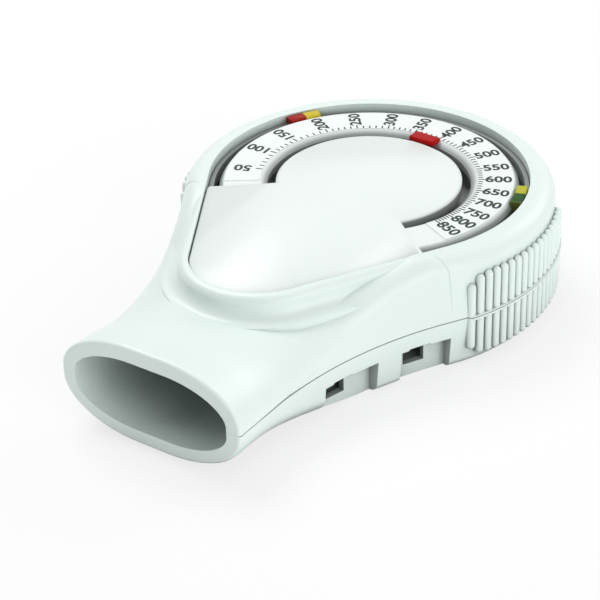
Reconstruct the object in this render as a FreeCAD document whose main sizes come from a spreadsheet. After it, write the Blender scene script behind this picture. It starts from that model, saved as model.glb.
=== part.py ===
import FreeCAD, Part
import math
import os
from types import SimpleNamespace
import Sketcher
from FreeCAD import Placement, Rotation, Vector

# Pocket peak flow meter with a pivoted vane.
# Millimetres. The origin is on the axis of the dial, in the plane that the meter rests on.
# +Z goes up through the dial, and the mouthpiece points along -Y.

DRIVING_SIZES = [
    ("parting_height", 10.7, "plane where the two shells meet"),
    ("casing_height", 23.4, "rim round the face plate"),
    ("casing_radius", 36.9, "round body at the parting plane"),
    ("draft_inset", 1.1, "how far the wall leans in from the parting plane to base and rim"),
    ("wall", 1.9, "moulded wall of both shells"),
    ("floor", 2.0, "floor of the lower shell"),
    ("base_fillet", 1.8, "edge of the base"),
    ("shoulder_fillet", 3.4, "edge between wall and rim"),
    ("join_setback", 19.8, "where the neck's flanks run into the round body"),
    ("mouth_reach", 70.3, "dial axis to the end of the mouthpiece"),
    ("mouth_width", 39.0, "mouthpiece across"),
    ("mouth_height", 19.7, "mouthpiece high"),
    ("mouth_corner_width", 16.0, "elliptical corner of the mouthpiece, across"),
    ("mouth_corner_height", 9.0, "elliptical corner of the mouthpiece, high"),
    ("mouth_lip", 0.6, "rounding of the mouthpiece's end"),
    ("neck_straight_end", 60.0, "where the neck starts to widen"),
    ("roof_drop", 4.2, "neck in front of the dial, below the rim"),
    ("roof_start", 55.0, "where the neck's upper side has risen to its roof"),
    ("roof_end", 44.0, "where the roof starts to rise to the rim"),
    ("belly_end", 50.0, "where the neck's lower side has come down to the base"),
    ("mouth_ease", 64.0, "where the corners of the mouthpiece start to change"),
    ("upper_ease", 24.0, "where the upper corners match the round body"),
    ("lower_ease", 30.0, "where the lower corners match the round body"),
    ("tip_offset", 36.2, "dial axis to the centre of the teardrop's tip"),
    ("plateau_inset", 4.6, "raised teardrop round the face plate, inside the round body"),
    ("plateau_tip_radius", 15.2, "raised teardrop round the face plate, at its tip"),
    ("plateau_fillet", 1.5, "upper edge of the raised teardrop"),
    ("cove_radius", 2.6, "hollow curve from the raised teardrop down to the neck"),
    ("parting_groove", 0.16, "fine line between the shells"),
    ("recess_inset", 1.1, "recess for the face plate, inside the raised teardrop"),
    ("recess_tip_radius", 13.2, "recess for the face plate, at its tip"),
    ("plate_gap", 0.15, "face plate to its recess"),
    ("plate_drop", 0.4, "face plate below the rim"),
    ("plate_thickness", 2.6, "face plate at its edge"),
    ("plate_skin", 1.4, "face plate where it is hollow underneath"),
    ("plate_bevel", 0.4, "bevel round the face plate"),
    ("trough_depth", 1.4, "dial trough below the face plate"),
    ("island_gap", 0.1, "round island to the pointer's slot"),
    ("trough_start", 220.0, "end wall of the trough beside the low numbers, degrees"),
    ("trough_end", -40.0, "end wall of the trough beside the high numbers, degrees"),
    ("slot_margin", 2.5, "end of a slot to the end wall of the trough, degrees"),
    ("inner_slot_width", 1.7, "slot of the pointer"),
    ("dial_width", 9.3, "dial ring between the slot of the pointer and that of the zone markers"),
    ("rail_width", 1.0, "raised rail outside the pointer's slot"),
    ("rail_height", 0.5, "raised rail outside the pointer's slot"),
    ("outer_slot_width", 1.1, "slot of the zone markers"),
    ("outer_slot_inset", 1.0, "slot of the zone markers, inside the recess for the face plate"),
    ("ledge_width", 0.75, "ledge under the edge of the face plate"),
    ("deck_thickness", 1.6, "upper shell under the face plate"),
    ("strip_thickness", 0.2, "printed scale strip"),
    ("strip_margin", 0.2, "scale strip to the rail and the outer slot"),
    ("strip_start", 218.0, "end of the scale strip beside the low numbers, degrees"),
    ("strip_end", -27.0, "end of the scale strip beside the high numbers, degrees"),
    ("rib_radius", 0.85, "one grip rib"),
    ("rib_stand", 0.35, "centre of a grip rib outside the wall"),
    ("rib_pitch", 2.95, "grip ribs, degrees apart"),
    ("rib_low", 2.0, "lowest point of the grip ribs"),
    ("rib_drop", 4.0, "highest point of the grip ribs, below the rim"),
    ("grip_corner", 4.5, "rounded corner of the ribbed patch"),
    ("grip_bead_stand", 0.75, "bead along the parting line across the ribs"),
    ("grip_bead_height", 0.9, "bead along the parting line across the ribs"),
    ("vent_depth", 3.0, "vent pocket into the flank"),
    ("vent_wall", 1.3, "wall round a vent pocket"),
    ("vent_height", 7.0, "vent pocket above the base"),
    ("rear_vent_front", 29.2, "rear vent pocket, towards the mouthpiece"),
    ("rear_vent_back", 20.0, "rear vent pocket, towards the dial"),
    ("front_vent_front", 46.0, "front vent pocket, towards the mouthpiece"),
    ("front_vent_back", 33.9, "front vent pocket, towards the dial"),
    ("vent_hole_length", 4.4, "hole in a vent pocket, along the flank"),
    ("vent_hole_low", 2.5, "hole in a vent pocket, lower edge"),
    ("vent_hole_place", 0.16, "hole in a vent pocket, share of the pocket's length in front of it"),
    ("drum_inset", 7.3, "vane chamber, inside the round body"),
    ("drum_wall", 1.2, "wall round the vane chamber"),
    ("wall_rise_gap", 0.25, "chamber walls and bosses to the upper shell"),
    ("relief_width", 1.2, "relief slots high in the wall of the vane chamber"),
    ("relief_low", 8.0, "lower end of the relief slots"),
    ("lid_drop", 9.6, "underside of the chamber lid, below the face plate"),
    ("lid_thickness", 1.4, "chamber lid"),
    ("lid_front", 47.0, "front edge of the chamber lid, in the neck"),
    ("guide_front", 50.0, "front end of the two walls that guide the breath"),
    ("guide_spread", 14.6, "guide walls at their front end, from the middle"),
    ("inlet_start", 230.0, "opening of the vane chamber to the neck, degrees"),
    ("inlet_end", 282.0, "opening of the vane chamber to the neck, degrees"),
    ("outlet_start", 291.0, "opening of the vane chamber to the vents, degrees"),
    ("outlet_end", 320.0, "opening of the vane chamber to the vents, degrees"),
    ("barrier_angle", 285.0, "wall between inlet and outlet, degrees"),
    ("barrier_thickness", 1.4, "wall between inlet and outlet"),
    ("vane_start", 212.0, "vane at rest, degrees"),
    ("vane_travel", 240.0, "turn of the vane, degrees"),
    ("vane_thickness", 0.8, "vane blade"),
    ("vane_gap", 0.4, "vane blade to the wall of its chamber"),
    ("pad_thickness", 1.0, "soft pad on a vane stop"),
    ("pad_gap", 0.05, "soft pad to the vane"),
    ("pad_length", 4.6, "soft pad along the vane"),
    ("stop_length", 6.1, "stops of the vane, from the wall of its chamber"),
    ("spindle_radius", 1.0, "spindle"),
    ("running_gap", 0.04, "radial clearance of the spindle in its bushes"),
    ("bush_radius", 2.2, "bushes"),
    ("bush_height", 3.0, "lower bush"),
    ("pivot_boss_radius", 3.6, "boss under the lower bush"),
    ("hub_radius", 5.0, "vane hub"),
    ("axial_gap", 0.3, "clearance along the axis between turning pieces"),
    ("spring_width", 1.4, "height of the spring strip"),
    ("spring_strip", 0.25, "thickness of the spring strip"),
    ("spring_inside", 2.55, "innermost turn of the spring"),
    ("spring_outside", 7.6, "outermost turn of the spring"),
    ("spring_turns", 4.0, "turns of the spring"),
    ("post_radius", 0.6, "post of the spring"),
    ("arm_thickness", 0.8, "pusher arm"),
    ("arm_reach", 16.0, "pusher arm from the dial axis"),
    ("arm_width", 2.4, "pusher arm"),
    ("pointer_thickness", 1.0, "pointer hub and arm"),
    ("pointer_angle", 88.0, "reading that the pointer shows, degrees"),
    ("pointer_pin_radius", 2.0, "pin under the face plate that carries the pointer"),
    ("pointer_hub_radius", 4.6, "pointer hub"),
    ("pointer_stem_width", 4.0, "pointer stem along its slot"),
    ("slot_gap", 0.3, "stem to the sides of its slot"),
    ("tab_width", 5.6, "pointer tab along its slot"),
    ("tab_reach", 1.2, "pointer tab past its slot"),
    ("tab_stand", 0.4, "top of the pointer tab above the face plate"),
    ("washer_thickness", 0.4, "friction washer"),
    ("clip_thickness", 0.5, "pointer clip"),
    ("marker_span", 13.0, "zone marker along its slot, degrees"),
    ("marker_width", 2.7, "cap of a zone marker, across its slot"),
    ("marker_gap", 0.3, "cap of a zone marker to the rim"),
    ("marker_drop", 0.1, "top of a zone marker below the face plate"),
    ("marker_foot", 0.8, "hook of a zone marker under the dial"),
    ("marker_hook", 1.1, "hook of a zone marker, inside its slot"),
    ("marker_bevel", 0.25, "upper edges of a zone marker"),
    ("low_marker_angle", 149.5, "low zone marker, degrees"),
    ("high_marker_angle", 17.5, "high zone marker, degrees"),
    ("screw_inset", 4.1, "rear casing screws, inside the round body"),
    ("lid_screw_inset", 4.5, "lid screws, inside the round body"),
    ("lid_screw_turn", 88.0, "side lid screws to the rear one, degrees"),
    ("boss_radius", 1.9, "screw bosses"),
    ("screw_radius", 0.8, "screw shanks"),
    ("screw_head_radius", 1.5, "screw heads"),
    ("screw_head_height", 1.1, "screw heads"),
    ("screw_sink", 0.5, "casing screw heads below the base"),
    ("casing_screw_length", 12.0, "casing screws under the head"),
    ("lid_screw_length", 6.0, "lid screws under the head"),
    ("screw_gap", 0.03, "screws to the sides of their holes"),
    ("rear_screw_angle", 48.0, "rear casing screws, degrees"),
    ("front_screw_x", 21.4, "front casing screws, from the middle"),
    ("front_screw_y", 31.5, "front casing screws, towards the mouthpiece"),
]

# How far a cutting shape passes beyond the face that it cuts, and how far a wall goes into what it stands on.
PAST = 1.0
SUNK = 0.3
GRIP_RIBS = 19

doc = FreeCAD.newDocument("peak_flow_meter")
sheet = doc.addObject("Spreadsheet::Sheet", "sizes")
for row, (alias, number, meaning) in enumerate(DRIVING_SIZES, start=1):
    sheet.set(f"A{row}", meaning)
    sheet.set(f"B{row}", str(number))
    sheet.setAlias(f"B{row}", alias)
doc.recompute()


class Dim:
    """A size: its value, and the expression on the sheet that it comes from."""

    def __init__(self, value, text):
        self.value = float(value)
        self.text = text

    def joined(self, other, sign, value, turned=False):
        other = as_dim(other)
        first, second = (other, self) if turned else (self, other)
        return Dim(value, f"({first.text} {sign} {second.text})")

    def __add__(self, other):
        return self.joined(other, "+", self.value + as_dim(other).value)

    def __radd__(self, other):
        return self.joined(other, "+", as_dim(other).value + self.value, turned=True)

    def __sub__(self, other):
        return self.joined(other, "-", self.value - as_dim(other).value)

    def __rsub__(self, other):
        return self.joined(other, "-", as_dim(other).value - self.value, turned=True)

    def __mul__(self, other):
        return self.joined(other, "*", self.value * as_dim(other).value)

    def __rmul__(self, other):
        return self.joined(other, "*", as_dim(other).value * self.value, turned=True)

    def __truediv__(self, other):
        return self.joined(other, "/", self.value / as_dim(other).value)

    def __neg__(self):
        return 0 - self

    def cos(self):
        return Dim(math.cos(math.radians(self.value)), f"cos({self.text} * 1 deg)")

    def sin(self):
        return Dim(math.sin(math.radians(self.value)), f"sin({self.text} * 1 deg)")


def as_dim(size):
    """A Dim from a Dim or a plain number."""
    return size if isinstance(size, Dim) else Dim(size, repr(float(size)))


S = SimpleNamespace(**{alias: Dim(getattr(sheet, alias), f"sizes.{alias}") for alias, _, _ in DRIVING_SIZES})

# Small clearance between pieces that are stacked on an axis.
CLOSE = 0.1

# Radii and levels that several pieces share.
S.plateau_radius = S.casing_radius - S.plateau_inset
S.recess_radius = S.plateau_radius - S.recess_inset
S.ledge_radius = S.recess_radius - S.ledge_width
S.outer_slot_outside = S.recess_radius - S.outer_slot_inset
S.outer_slot_inside = S.outer_slot_outside - S.outer_slot_width
S.inner_slot_outside = S.outer_slot_inside - S.dial_width
S.inner_slot_inside = S.inner_slot_outside - S.inner_slot_width
S.island_radius = S.inner_slot_inside - S.island_gap
S.tab_outside = S.inner_slot_outside + S.tab_reach
S.marker_outside = S.recess_radius - S.marker_gap
S.marker_inside = S.marker_outside - S.marker_width
S.marker_hook_inside = S.outer_slot_inside - S.marker_hook
S.drum_radius = S.casing_radius - S.drum_inset
S.screw_circle = S.casing_radius - S.screw_inset
S.lid_screw_circle = S.casing_radius - S.lid_screw_inset
S.neck_roof = S.casing_height - S.roof_drop
S.rib_high = S.casing_height - S.rib_drop
S.plate_top = S.casing_height - S.plate_drop
S.plate_seat = S.plate_top - S.plate_thickness
S.trough_top = S.plate_top - S.trough_depth
S.deck_underside = S.plate_seat - S.deck_thickness
S.lid_height = S.plate_top - S.lid_drop
S.lid_top = S.lid_height + S.lid_thickness
S.tab_top = S.plate_top + S.tab_stand
S.marker_top = S.plate_top - S.marker_drop
S.rail_top = S.trough_top + S.rail_height
S.bore_radius = S.spindle_radius + S.running_gap
S.slot_start = S.trough_start - S.slot_margin
S.slot_end = S.trough_end + S.slot_margin
S.spring_low = S.lid_top + 2 * S.axial_gap
S.spring_high = S.spring_low + S.spring_width
S.arm_low = S.spring_high + S.axial_gap
S.arm_high = S.arm_low + S.arm_thickness
S.spindle_top = S.arm_high + 2 * CLOSE
S.pin_end = S.spindle_top + 2 * CLOSE
S.clip_low = S.pin_end + CLOSE
S.clip_high = S.clip_low + S.clip_thickness
S.pointer_low = S.clip_high + CLOSE
S.pointer_high = S.pointer_low + S.pointer_thickness
S.washer_low = S.pointer_high + CLOSE / 5
S.washer_high = S.washer_low + S.washer_thickness
S.vane_low = S.floor + 2 * S.axial_gap
S.vane_high = S.lid_height - 2 * S.axial_gap
S.hub_low = S.floor + S.bush_height + S.axial_gap
S.vane_end = S.vane_start - S.vane_travel
S.drum_outside = S.drum_radius + S.drum_wall
S.strip_inside = S.inner_slot_outside + S.rail_width + S.strip_margin
S.strip_outside = S.outer_slot_inside - S.strip_margin
S.plate_radius = S.recess_radius - S.plate_gap
S.plate_tip_radius = S.recess_tip_radius - S.plate_gap
S.stop_inside = S.drum_radius - S.stop_length
S.blade_root = 2 * S.spindle_radius
S.screw_bore = S.screw_radius + S.screw_gap
S.head_top = S.screw_sink + S.screw_head_height
S.root = S.floor - SUNK


def bind(thing, **properties):
    """Tie properties of an object to the sheet."""
    for name, size in properties.items():
        thing.setExpression(name, as_dim(size).text)


def place(thing, x=0, y=0, z=0, turn=0):
    """Turn an object about the dial axis, after moving it to x, y, z."""
    x, y, z, turn = as_dim(x), as_dim(y), as_dim(z), as_dim(turn)
    thing.Placement = Placement(Vector(0, 0, 0), Rotation(Vector(0, 0, 1), 1))
    thing.setExpression("Placement.Base.x", (x * turn.cos() - y * turn.sin()).text)
    thing.setExpression("Placement.Base.y", (x * turn.sin() + y * turn.cos()).text)
    thing.setExpression("Placement.Base.z", z.text)
    thing.setExpression("Placement.Rotation.Angle", f"{turn.text} * 1 deg")
    return thing


def cylinder(name, radius, low, high, x=0, y=0, turn=0):
    """Upright cylinder between two levels."""
    thing = doc.addObject("Part::Cylinder", name)
    bind(thing, Radius=radius, Height=as_dim(high) - low)
    return place(thing, x, y, low, turn)


def block(name, x, y, z, turn=0):
    """Box from three (low, high) pairs, turned about the dial axis."""
    thing = doc.addObject("Part::Box", name)
    bind(thing, Length=as_dim(x[1]) - x[0], Width=as_dim(y[1]) - y[0], Height=as_dim(z[1]) - z[0])
    return place(thing, x[0], y[0], z[0], turn)


def fused(name, things):
    """Union of objects of this document."""
    union = doc.addObject("Part::MultiFuse", name)
    union.Shapes = things
    return union


def less(name, body, tool):
    """One object cut by another."""
    result = doc.addObject("Part::Cut", name)
    result.Base = body
    result.Tool = tool
    return result


def shaped(name, shape):
    """Object with a shape made by functions from the sheet's values."""
    thing = doc.addObject("Part::Feature", name)
    thing.Shape = shape
    return thing


def profile_sketch(body, name, plane_role, corners):
    """Closed outline through corners, each tied to the sheet by its two distances from the origin."""
    sketch = body.newObject("Sketcher::SketchObject", name)
    plane = next(item for item in body.Origin.OriginFeatures if item.Role == plane_role)
    sketch.AttachmentSupport = [(plane, "")]
    sketch.MapMode = "FlatFace"
    corners = [(as_dim(across), as_dim(up)) for across, up in corners]
    points = [Vector(across.value, up.value, 0) for across, up in corners]
    for here, there in zip(points, points[1:] + points[:1]):
        sketch.addGeometry(Part.LineSegment(here, there))
    count = len(corners)
    for line in range(count):
        sketch.addConstraint(Sketcher.Constraint("Coincident", line, 2, (line + 1) % count, 1))
    for line, (across, up) in enumerate(corners):
        for kind, axis, size in (("DistanceX", -2, across), ("DistanceY", -1, up)):
            if size.value == 0:
                sketch.addConstraint(Sketcher.Constraint("PointOnObject", line, 1, axis))
            else:
                tie = sketch.addConstraint(Sketcher.Constraint(kind, -1, 1, line, 1, size.value))
                sketch.setExpression(f"Constraints[{tie}]", size.text)
    return sketch


def turned(label, corners, angle=360.0, middle=0):
    """Piece made by revolving a profile about the dial axis, through a full turn or part of one."""
    body = doc.addObject("PartDesign::Body", label)
    body.Label = label
    sketch = profile_sketch(body, f"{label}_profile", "XZ_Plane", corners)
    doc.recompute()
    revolve = body.newObject("PartDesign::Revolution", f"{label}_revolve")
    revolve.Profile = sketch
    revolve.ReferenceAxis = (sketch, ["V_Axis"])
    revolve.Midplane = True
    bind(revolve, Angle=angle)
    body.Tip = revolve
    place(body, turn=middle)
    return body


def blend(start, end, place_now, place_start, place_end):
    """Smooth change from start to end between two places."""
    share = (place_now - place_start) / (place_end - place_start)
    share = min(max(share, 0.0), 1.0)
    return start + (end - start) * share * share * (3 - 2 * share)


def teardrop_face(radius, tip_radius, level):
    """Flat teardrop: a circle round the dial and a smaller one at the tip, joined by their tangents."""
    offset = S.tip_offset.value
    lean = math.asin((radius - tip_radius) / offset)
    across, down = math.cos(lean), -math.sin(lean)
    right = Vector(radius * across, radius * down, level)
    tip_right = Vector(tip_radius * across, tip_radius * down - offset, level)
    left = Vector(-right.x, right.y, level)
    tip_left = Vector(-tip_right.x, tip_right.y, level)
    outline = Part.Wire([
        Part.Arc(right, Vector(0, radius, level), left).toShape(),
        Part.makeLine(left, tip_left),
        Part.Arc(tip_left, Vector(0, -offset - tip_radius, level), tip_right).toShape(),
        Part.makeLine(tip_right, right),
    ])
    return Part.Face(outline)


def teardrop(radius, tip_radius, low, high):
    """Upright prism on a teardrop."""
    return teardrop_face(radius, tip_radius, low).extrude(Vector(0, 0, high - low))


def corner(across, up, width, height, side, top):
    """Points of a quarter of an ellipse round a corner of a neck section, in the plane of x and z."""
    middle = (across - side * width, up - top * height)
    slant = math.sqrt(0.5)
    start = (across, middle[1])
    halfway = (middle[0] + side * width * slant, middle[1] + top * height * slant)
    end = (middle[0], up)
    return start, halfway, end, middle


def quarter(points, width, height, station):
    """Edge along a quarter of an ellipse from its start to its end."""
    start, halfway, end, middle = points
    centre = Vector(middle[0], station, middle[1])
    at = [Vector(p[0], station, p[1]) for p in (start, halfway, end)]
    if abs(width - height) < 1e-6:
        return Part.Arc(*at).toShape()
    long_way, short_way = (at[0], at[2]) if width > height else (at[2], at[0])
    ellipse = Part.Ellipse(long_way, short_way, centre)
    first, last = ellipse.parameter(at[0]), ellipse.parameter(at[2])
    middle_way = ellipse.parameter(at[1])
    turn = 2 * math.pi
    for low, high in ((first, last), (last, first)):
        span = (high - low) % turn
        if (middle_way - low) % turn < span:
            return ellipse.toShape(low, low + span)
    raise ValueError("no quarter of the ellipse passes the middle point")


def shoulder_radius():
    """Radius of the round body where its wall meets the rim's fillet, before rounding."""
    return S.casing_radius.value - S.draft_inset.value


def neck_half_width(station, inset):
    """Half the width of the neck at the parting plane: straight, then an arc that meets the round body."""
    half = S.mouth_width.value / 2
    start, radius, join = S.neck_straight_end.value, S.casing_radius.value, S.join_setback.value
    if station <= -start:
        return half - inset
    join_half = math.sqrt(radius ** 2 - join ** 2)
    rise, run = join_half - half, start - join
    sweep = (run ** 2 + rise ** 2) / (2 * rise)
    return half + sweep - math.sqrt(sweep ** 2 - (station + start) ** 2) - inset


def section_sizes(station, inset, upper):
    """Sizes of the neck's section at a station: half widths at parting and at the far level, that level,
    and the elliptical corner between them."""
    mouth, join = -S.mouth_reach.value, -S.join_setback.value
    parting = S.parting_height.value
    half = neck_half_width(station, inset)
    lean = blend(0.0, S.draft_inset.value, station, mouth, join)
    radius = shoulder_radius()
    fillet = S.shoulder_fillet.value if upper else S.base_fillet.value
    join_corner = math.sqrt(radius ** 2 - join ** 2) - math.sqrt((radius - fillet) ** 2 - join ** 2)
    first, last = -S.mouth_ease.value, -(S.upper_ease if upper else S.lower_ease).value
    width = blend(S.mouth_corner_width.value, join_corner, station, first, last)
    height = blend(S.mouth_corner_height.value, fillet, station, first, last)
    if upper:
        mouth_level = parting + S.mouth_height.value / 2
        level = blend(mouth_level, S.neck_roof.value, station, mouth, -S.roof_start.value)
        level = blend(level, S.casing_height.value, station, -S.roof_end.value, join)
        level -= inset
    else:
        mouth_level = parting - S.mouth_height.value / 2
        level = blend(mouth_level, 0.0, station, mouth, -S.belly_end.value) + inset
    width = max(width - inset, 0.5)
    height = max(height - inset, 0.5)
    return half, half - lean, level, width, height


def neck_section(station, inset, upper, past=None):
    """Closed outline of one half of the neck at a station, the same way round for both halves."""
    half, foot, level, width, height = section_sizes(station, inset, upper)
    top = 1 if upper else -1
    near = corner(-top * foot, level, width, height, -top, top)
    far = corner(top * foot, level, width, height, top, top)
    if past is None:
        past = PAST if inset else 0
    base = S.parting_height.value - top * past
    start = Vector(top * half, station, base)
    end = Vector(-top * half, station, base)
    near_wall, near_flat = [Vector(p[0], station, p[1]) for p in (near[0], near[2])]
    far_wall, far_flat = [Vector(p[0], station, p[1]) for p in (far[0], far[2])]
    return Part.Wire([
        Part.makeLine(start, end),
        Part.makeLine(end, near_wall),
        quarter(near, width, height, station),
        Part.makeLine(near_flat, far_flat),
        quarter(far, width, height, station),
        Part.makeLine(far_wall, start),
    ])


def neck_half(inset, upper):
    """Upper or lower half of the neck, from the mouthpiece to the round body."""
    mouth, join, lip = -S.mouth_reach.value, -S.join_setback.value, S.mouth_lip.value
    straight, spacing = -S.neck_straight_end.value, 5.0
    first = mouth - PAST if inset else mouth + lip
    stations = [first, 0.5 * (mouth + straight), straight]
    steps = int(round((join - straight) / spacing))
    stations += [straight + (join - straight) * step / steps for step in range(1, steps + 1)]
    neck = Part.makeLoft([neck_section(station, inset, upper) for station in stations], True, False)
    if inset:
        return neck
    rounding = [math.radians(22.5 * step) for step in range(5)]
    sections = [neck_section(mouth + lip * (1 - math.cos(turn)), lip * (1 - math.sin(turn)), upper, 0)
                for turn in rounding]
    return neck.fuse(Part.makeLoft(sections, True, True))


def round_half(inset, upper):
    """Upper or lower half of the round body, behind the plane where the neck joins."""
    parting, radius = S.parting_height.value, S.casing_radius.value
    if upper:
        fillet, height = S.shoulder_fillet.value, S.casing_height.value - parting
    else:
        fillet, height = S.base_fillet.value, parting
    past = PAST if inset else 0
    start = Vector(0, 0, -past)
    body = Part.makeCone(radius - inset, shoulder_radius() - inset, height - inset + past, start)
    far = [edge for edge in body.Edges if edge.Closed and abs(edge.CenterOfMass.z - height + inset) < 1e-6]
    body = body.makeFillet(max(fillet - inset, 0.5), far)
    if upper:
        body.translate(Vector(0, 0, parting))
    else:
        body = body.mirror(Vector(0, 0, 0), Vector(0, 0, 1))
        body.translate(Vector(0, 0, parting))
    room = 2 * radius
    keep = Part.makeBox(2 * room, room, room, Vector(-room, -S.join_setback.value, -room / 4))
    return body.common(keep)


def plateau():
    """Raised teardrop round the face plate, with its rounded edge and the hollow curve at its foot."""
    cove, top = S.cove_radius.value, S.casing_height.value
    roof, low = S.neck_roof.value - 0.1, S.parting_height.value + 2
    radius, tip = S.plateau_radius.value, S.plateau_tip_radius.value
    raised = teardrop(radius, tip, low, top)
    rim = [edge for edge in raised.Edges if abs(edge.CenterOfMass.z - top) < 1e-6]
    raised = raised.makeFillet(S.plateau_fillet.value, rim)
    spread = 1.2 * cove
    foot = teardrop(radius + spread, tip + spread, low, roof)
    both = raised.fuse(foot).removeSplitter()
    flat = next(face for face in both.Faces
                if len(face.Wires) == 2 and abs(face.BoundBox.ZMax - roof) < 1e-6)
    inner = [edge for wire in flat.Wires if not wire.isSame(flat.OuterWire) for edge in wire.Edges]
    return both.makeFillet(cove, inner)


def shell_form(inset, upper):
    """Outside of a shell, or the room inside it when inset is the wall."""
    form = neck_half(inset, upper).fuse(round_half(inset, upper))
    return form.removeSplitter()


def ring(inside, outside, low, high, start=None, end=None):
    """Upright ring, or the part of it from one angle to another."""
    inside, outside, low, high = (as_dim(size).value for size in (inside, outside, low, high))
    full = start is None
    begin = 0.0 if full else as_dim(start).value
    sweep = 360.0 if full else as_dim(end).value - begin
    start = Vector(inside, 0, low)
    face = Part.makePlane(outside - inside, high - low, start, Vector(0, -1, 0), Vector(1, 0, 0))
    face.rotate(Vector(0, 0, 0), Vector(0, 0, 1), begin)
    return face.revolve(Vector(0, 0, 0), Vector(0, 0, 1), sweep)


def wall_between(start, end, thickness, low, high):
    """Upright straight wall from one point to another."""
    run = Vector(end[0] - start[0], end[1] - start[1], 0)
    wall = Part.makeBox(run.Length, thickness, high - low, Vector(0, -thickness / 2, low))
    wall.rotate(Vector(0, 0, 0), Vector(0, 0, 1), math.degrees(math.atan2(run.y, run.x)))
    wall.translate(Vector(start[0], start[1], 0))
    return wall


def grip_ribs(upper):
    """Upright ribs of both finger grips on one shell, shorter towards the ends of each patch."""
    parting, radius = S.parting_height.value, S.casing_radius.value
    pitch, size, reach = S.rib_pitch.value, S.rib_radius.value, S.grip_corner.value
    centre = radius + S.rib_stand.value - S.draft_inset.value / 2
    half_count = GRIP_RIBS // 2
    far_end = (half_count + 0.5) * math.radians(pitch) * radius
    ribs = []
    for number in range(-half_count, half_count + 1):
        from_end = far_end - abs(number) * math.radians(pitch) * radius
        short = 0.0
        if from_end < reach:
            short = reach - math.sqrt(reach ** 2 - (reach - from_end) ** 2)
        far = S.rib_high.value - short if upper else S.rib_low.value + short
        low, high = (parting, far - size) if upper else (far + size, parting)
        bar = Part.makeCylinder(size, high - low, Vector(centre, 0, low))
        cap = Part.makeSphere(size, Vector(centre, 0, high if upper else low))
        rib = bar.fuse(cap)
        for side in (0, 180):
            copy = rib.copy()
            copy.rotate(Vector(0, 0, 0), Vector(0, 0, 1), side + number * pitch)
            ribs.append(copy)
    return ribs


def grip_beads(upper):
    """Bead along the parting line across both grips."""
    parting, half = S.parting_height.value, S.grip_bead_height.value / 2
    low, high = (parting, parting + half) if upper else (parting - half, parting)
    inside = S.casing_radius.value - S.wall.value / 2
    outside = S.casing_radius.value + S.grip_bead_stand.value
    spread = GRIP_RIBS // 2 * S.rib_pitch.value
    return [ring(inside, outside, low, high, side - spread, side + spread) for side in (0, 180)]


def vent(front, back, side):
    """Pocket, its surrounding wall and its hole, for one vent; front and back are towards -Y and +Y."""
    start = Vector(side * neck_half_width(-front, 0), -front, 0)
    end = Vector(side * neck_half_width(-back, 0), -back, 0)
    lean = math.degrees(math.atan2(end.y - start.y, (end.x - start.x) * side))
    length, depth, skin = (end - start).Length, S.vent_depth.value, S.vent_wall.value
    high, outside = S.vent_height.value, 2 * S.vent_depth.value
    pocket = Part.makeBox(length, depth + outside, high + PAST, Vector(0, -outside, -PAST))
    around = Part.makeBox(length + 2 * skin, depth + outside + skin, high + skin, Vector(-skin, -outside, 0))
    hole = Part.makeBox(S.vent_hole_length.value, 2 * depth + outside, high + SUNK - S.vent_hole_low.value,
                        Vector(length * S.vent_hole_place.value, -outside, S.vent_hole_low.value))
    placed = []
    for piece in (pocket, around, hole):
        piece.rotate(Vector(0, 0, 0), Vector(0, 0, 1), lean)
        if side < 0:
            piece = piece.mirror(Vector(0, 0, 0), Vector(1, 0, 0))
        piece.translate(start)
        placed.append(piece)
    return placed


def screw_places():
    """Where the casing screws are, as (x, y)."""
    circle, angle = S.screw_circle.value, math.radians(S.rear_screw_angle.value)
    x, y = S.front_screw_x.value, S.front_screw_y.value
    rear = circle * math.cos(angle), circle * math.sin(angle)
    return [(x, -y), (-x, -y), rear, (-rear[0], rear[1])]


def lid_screw_places():
    """Where the lid screws are, as (x, y)."""
    circle, turn = S.lid_screw_circle.value, S.lid_screw_turn.value
    return [(circle * math.sin(math.radians(angle)), circle * math.cos(math.radians(angle)))
            for angle in (-turn, 0, turn)]


def around_parting():
    """Thin slab on the parting plane, to cut the fine line between the shells."""
    room, low = 3 * S.casing_radius.value, S.parting_height.value - PAST
    return Part.makeBox(2 * room, 2 * room, S.parting_groove.value + PAST, Vector(-room, -room, low))


def radial_block(angle, inside, outside, side_low, side_high, low, high):
    """Block that points away from the dial axis at an angle, between two distances to its left side."""
    sizes = (angle, inside, outside, side_low, side_high, low, high)
    angle, inside, outside, side_low, side_high, low, high = (as_dim(size).value for size in sizes)
    thing = Part.makeBox(outside - inside, side_high - side_low, high - low, Vector(inside, side_low, low))
    thing.rotate(Vector(0, 0, 0), Vector(0, 0, 1), angle)
    return thing


def upright(x, y, radius, low, high):
    """Upright cylinder at x, y between two levels."""
    radius, low, high = (as_dim(size).value for size in (radius, low, high))
    return Part.makeCylinder(radius, high - low, Vector(x, y, low))


def guide_lines():
    """Front and rear ends of the guide walls, right one first, as (x, y)."""
    spread, front = S.guide_spread.value, -S.guide_front.value
    middle = (S.drum_radius + S.drum_wall / 2).value
    lines = []
    for side, angle in ((1, S.barrier_angle), (-1, S.inlet_start)):
        rear = (middle * angle.cos().value, middle * angle.sin().value)
        lines.append(((side * spread, front), rear))
    return lines


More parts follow.
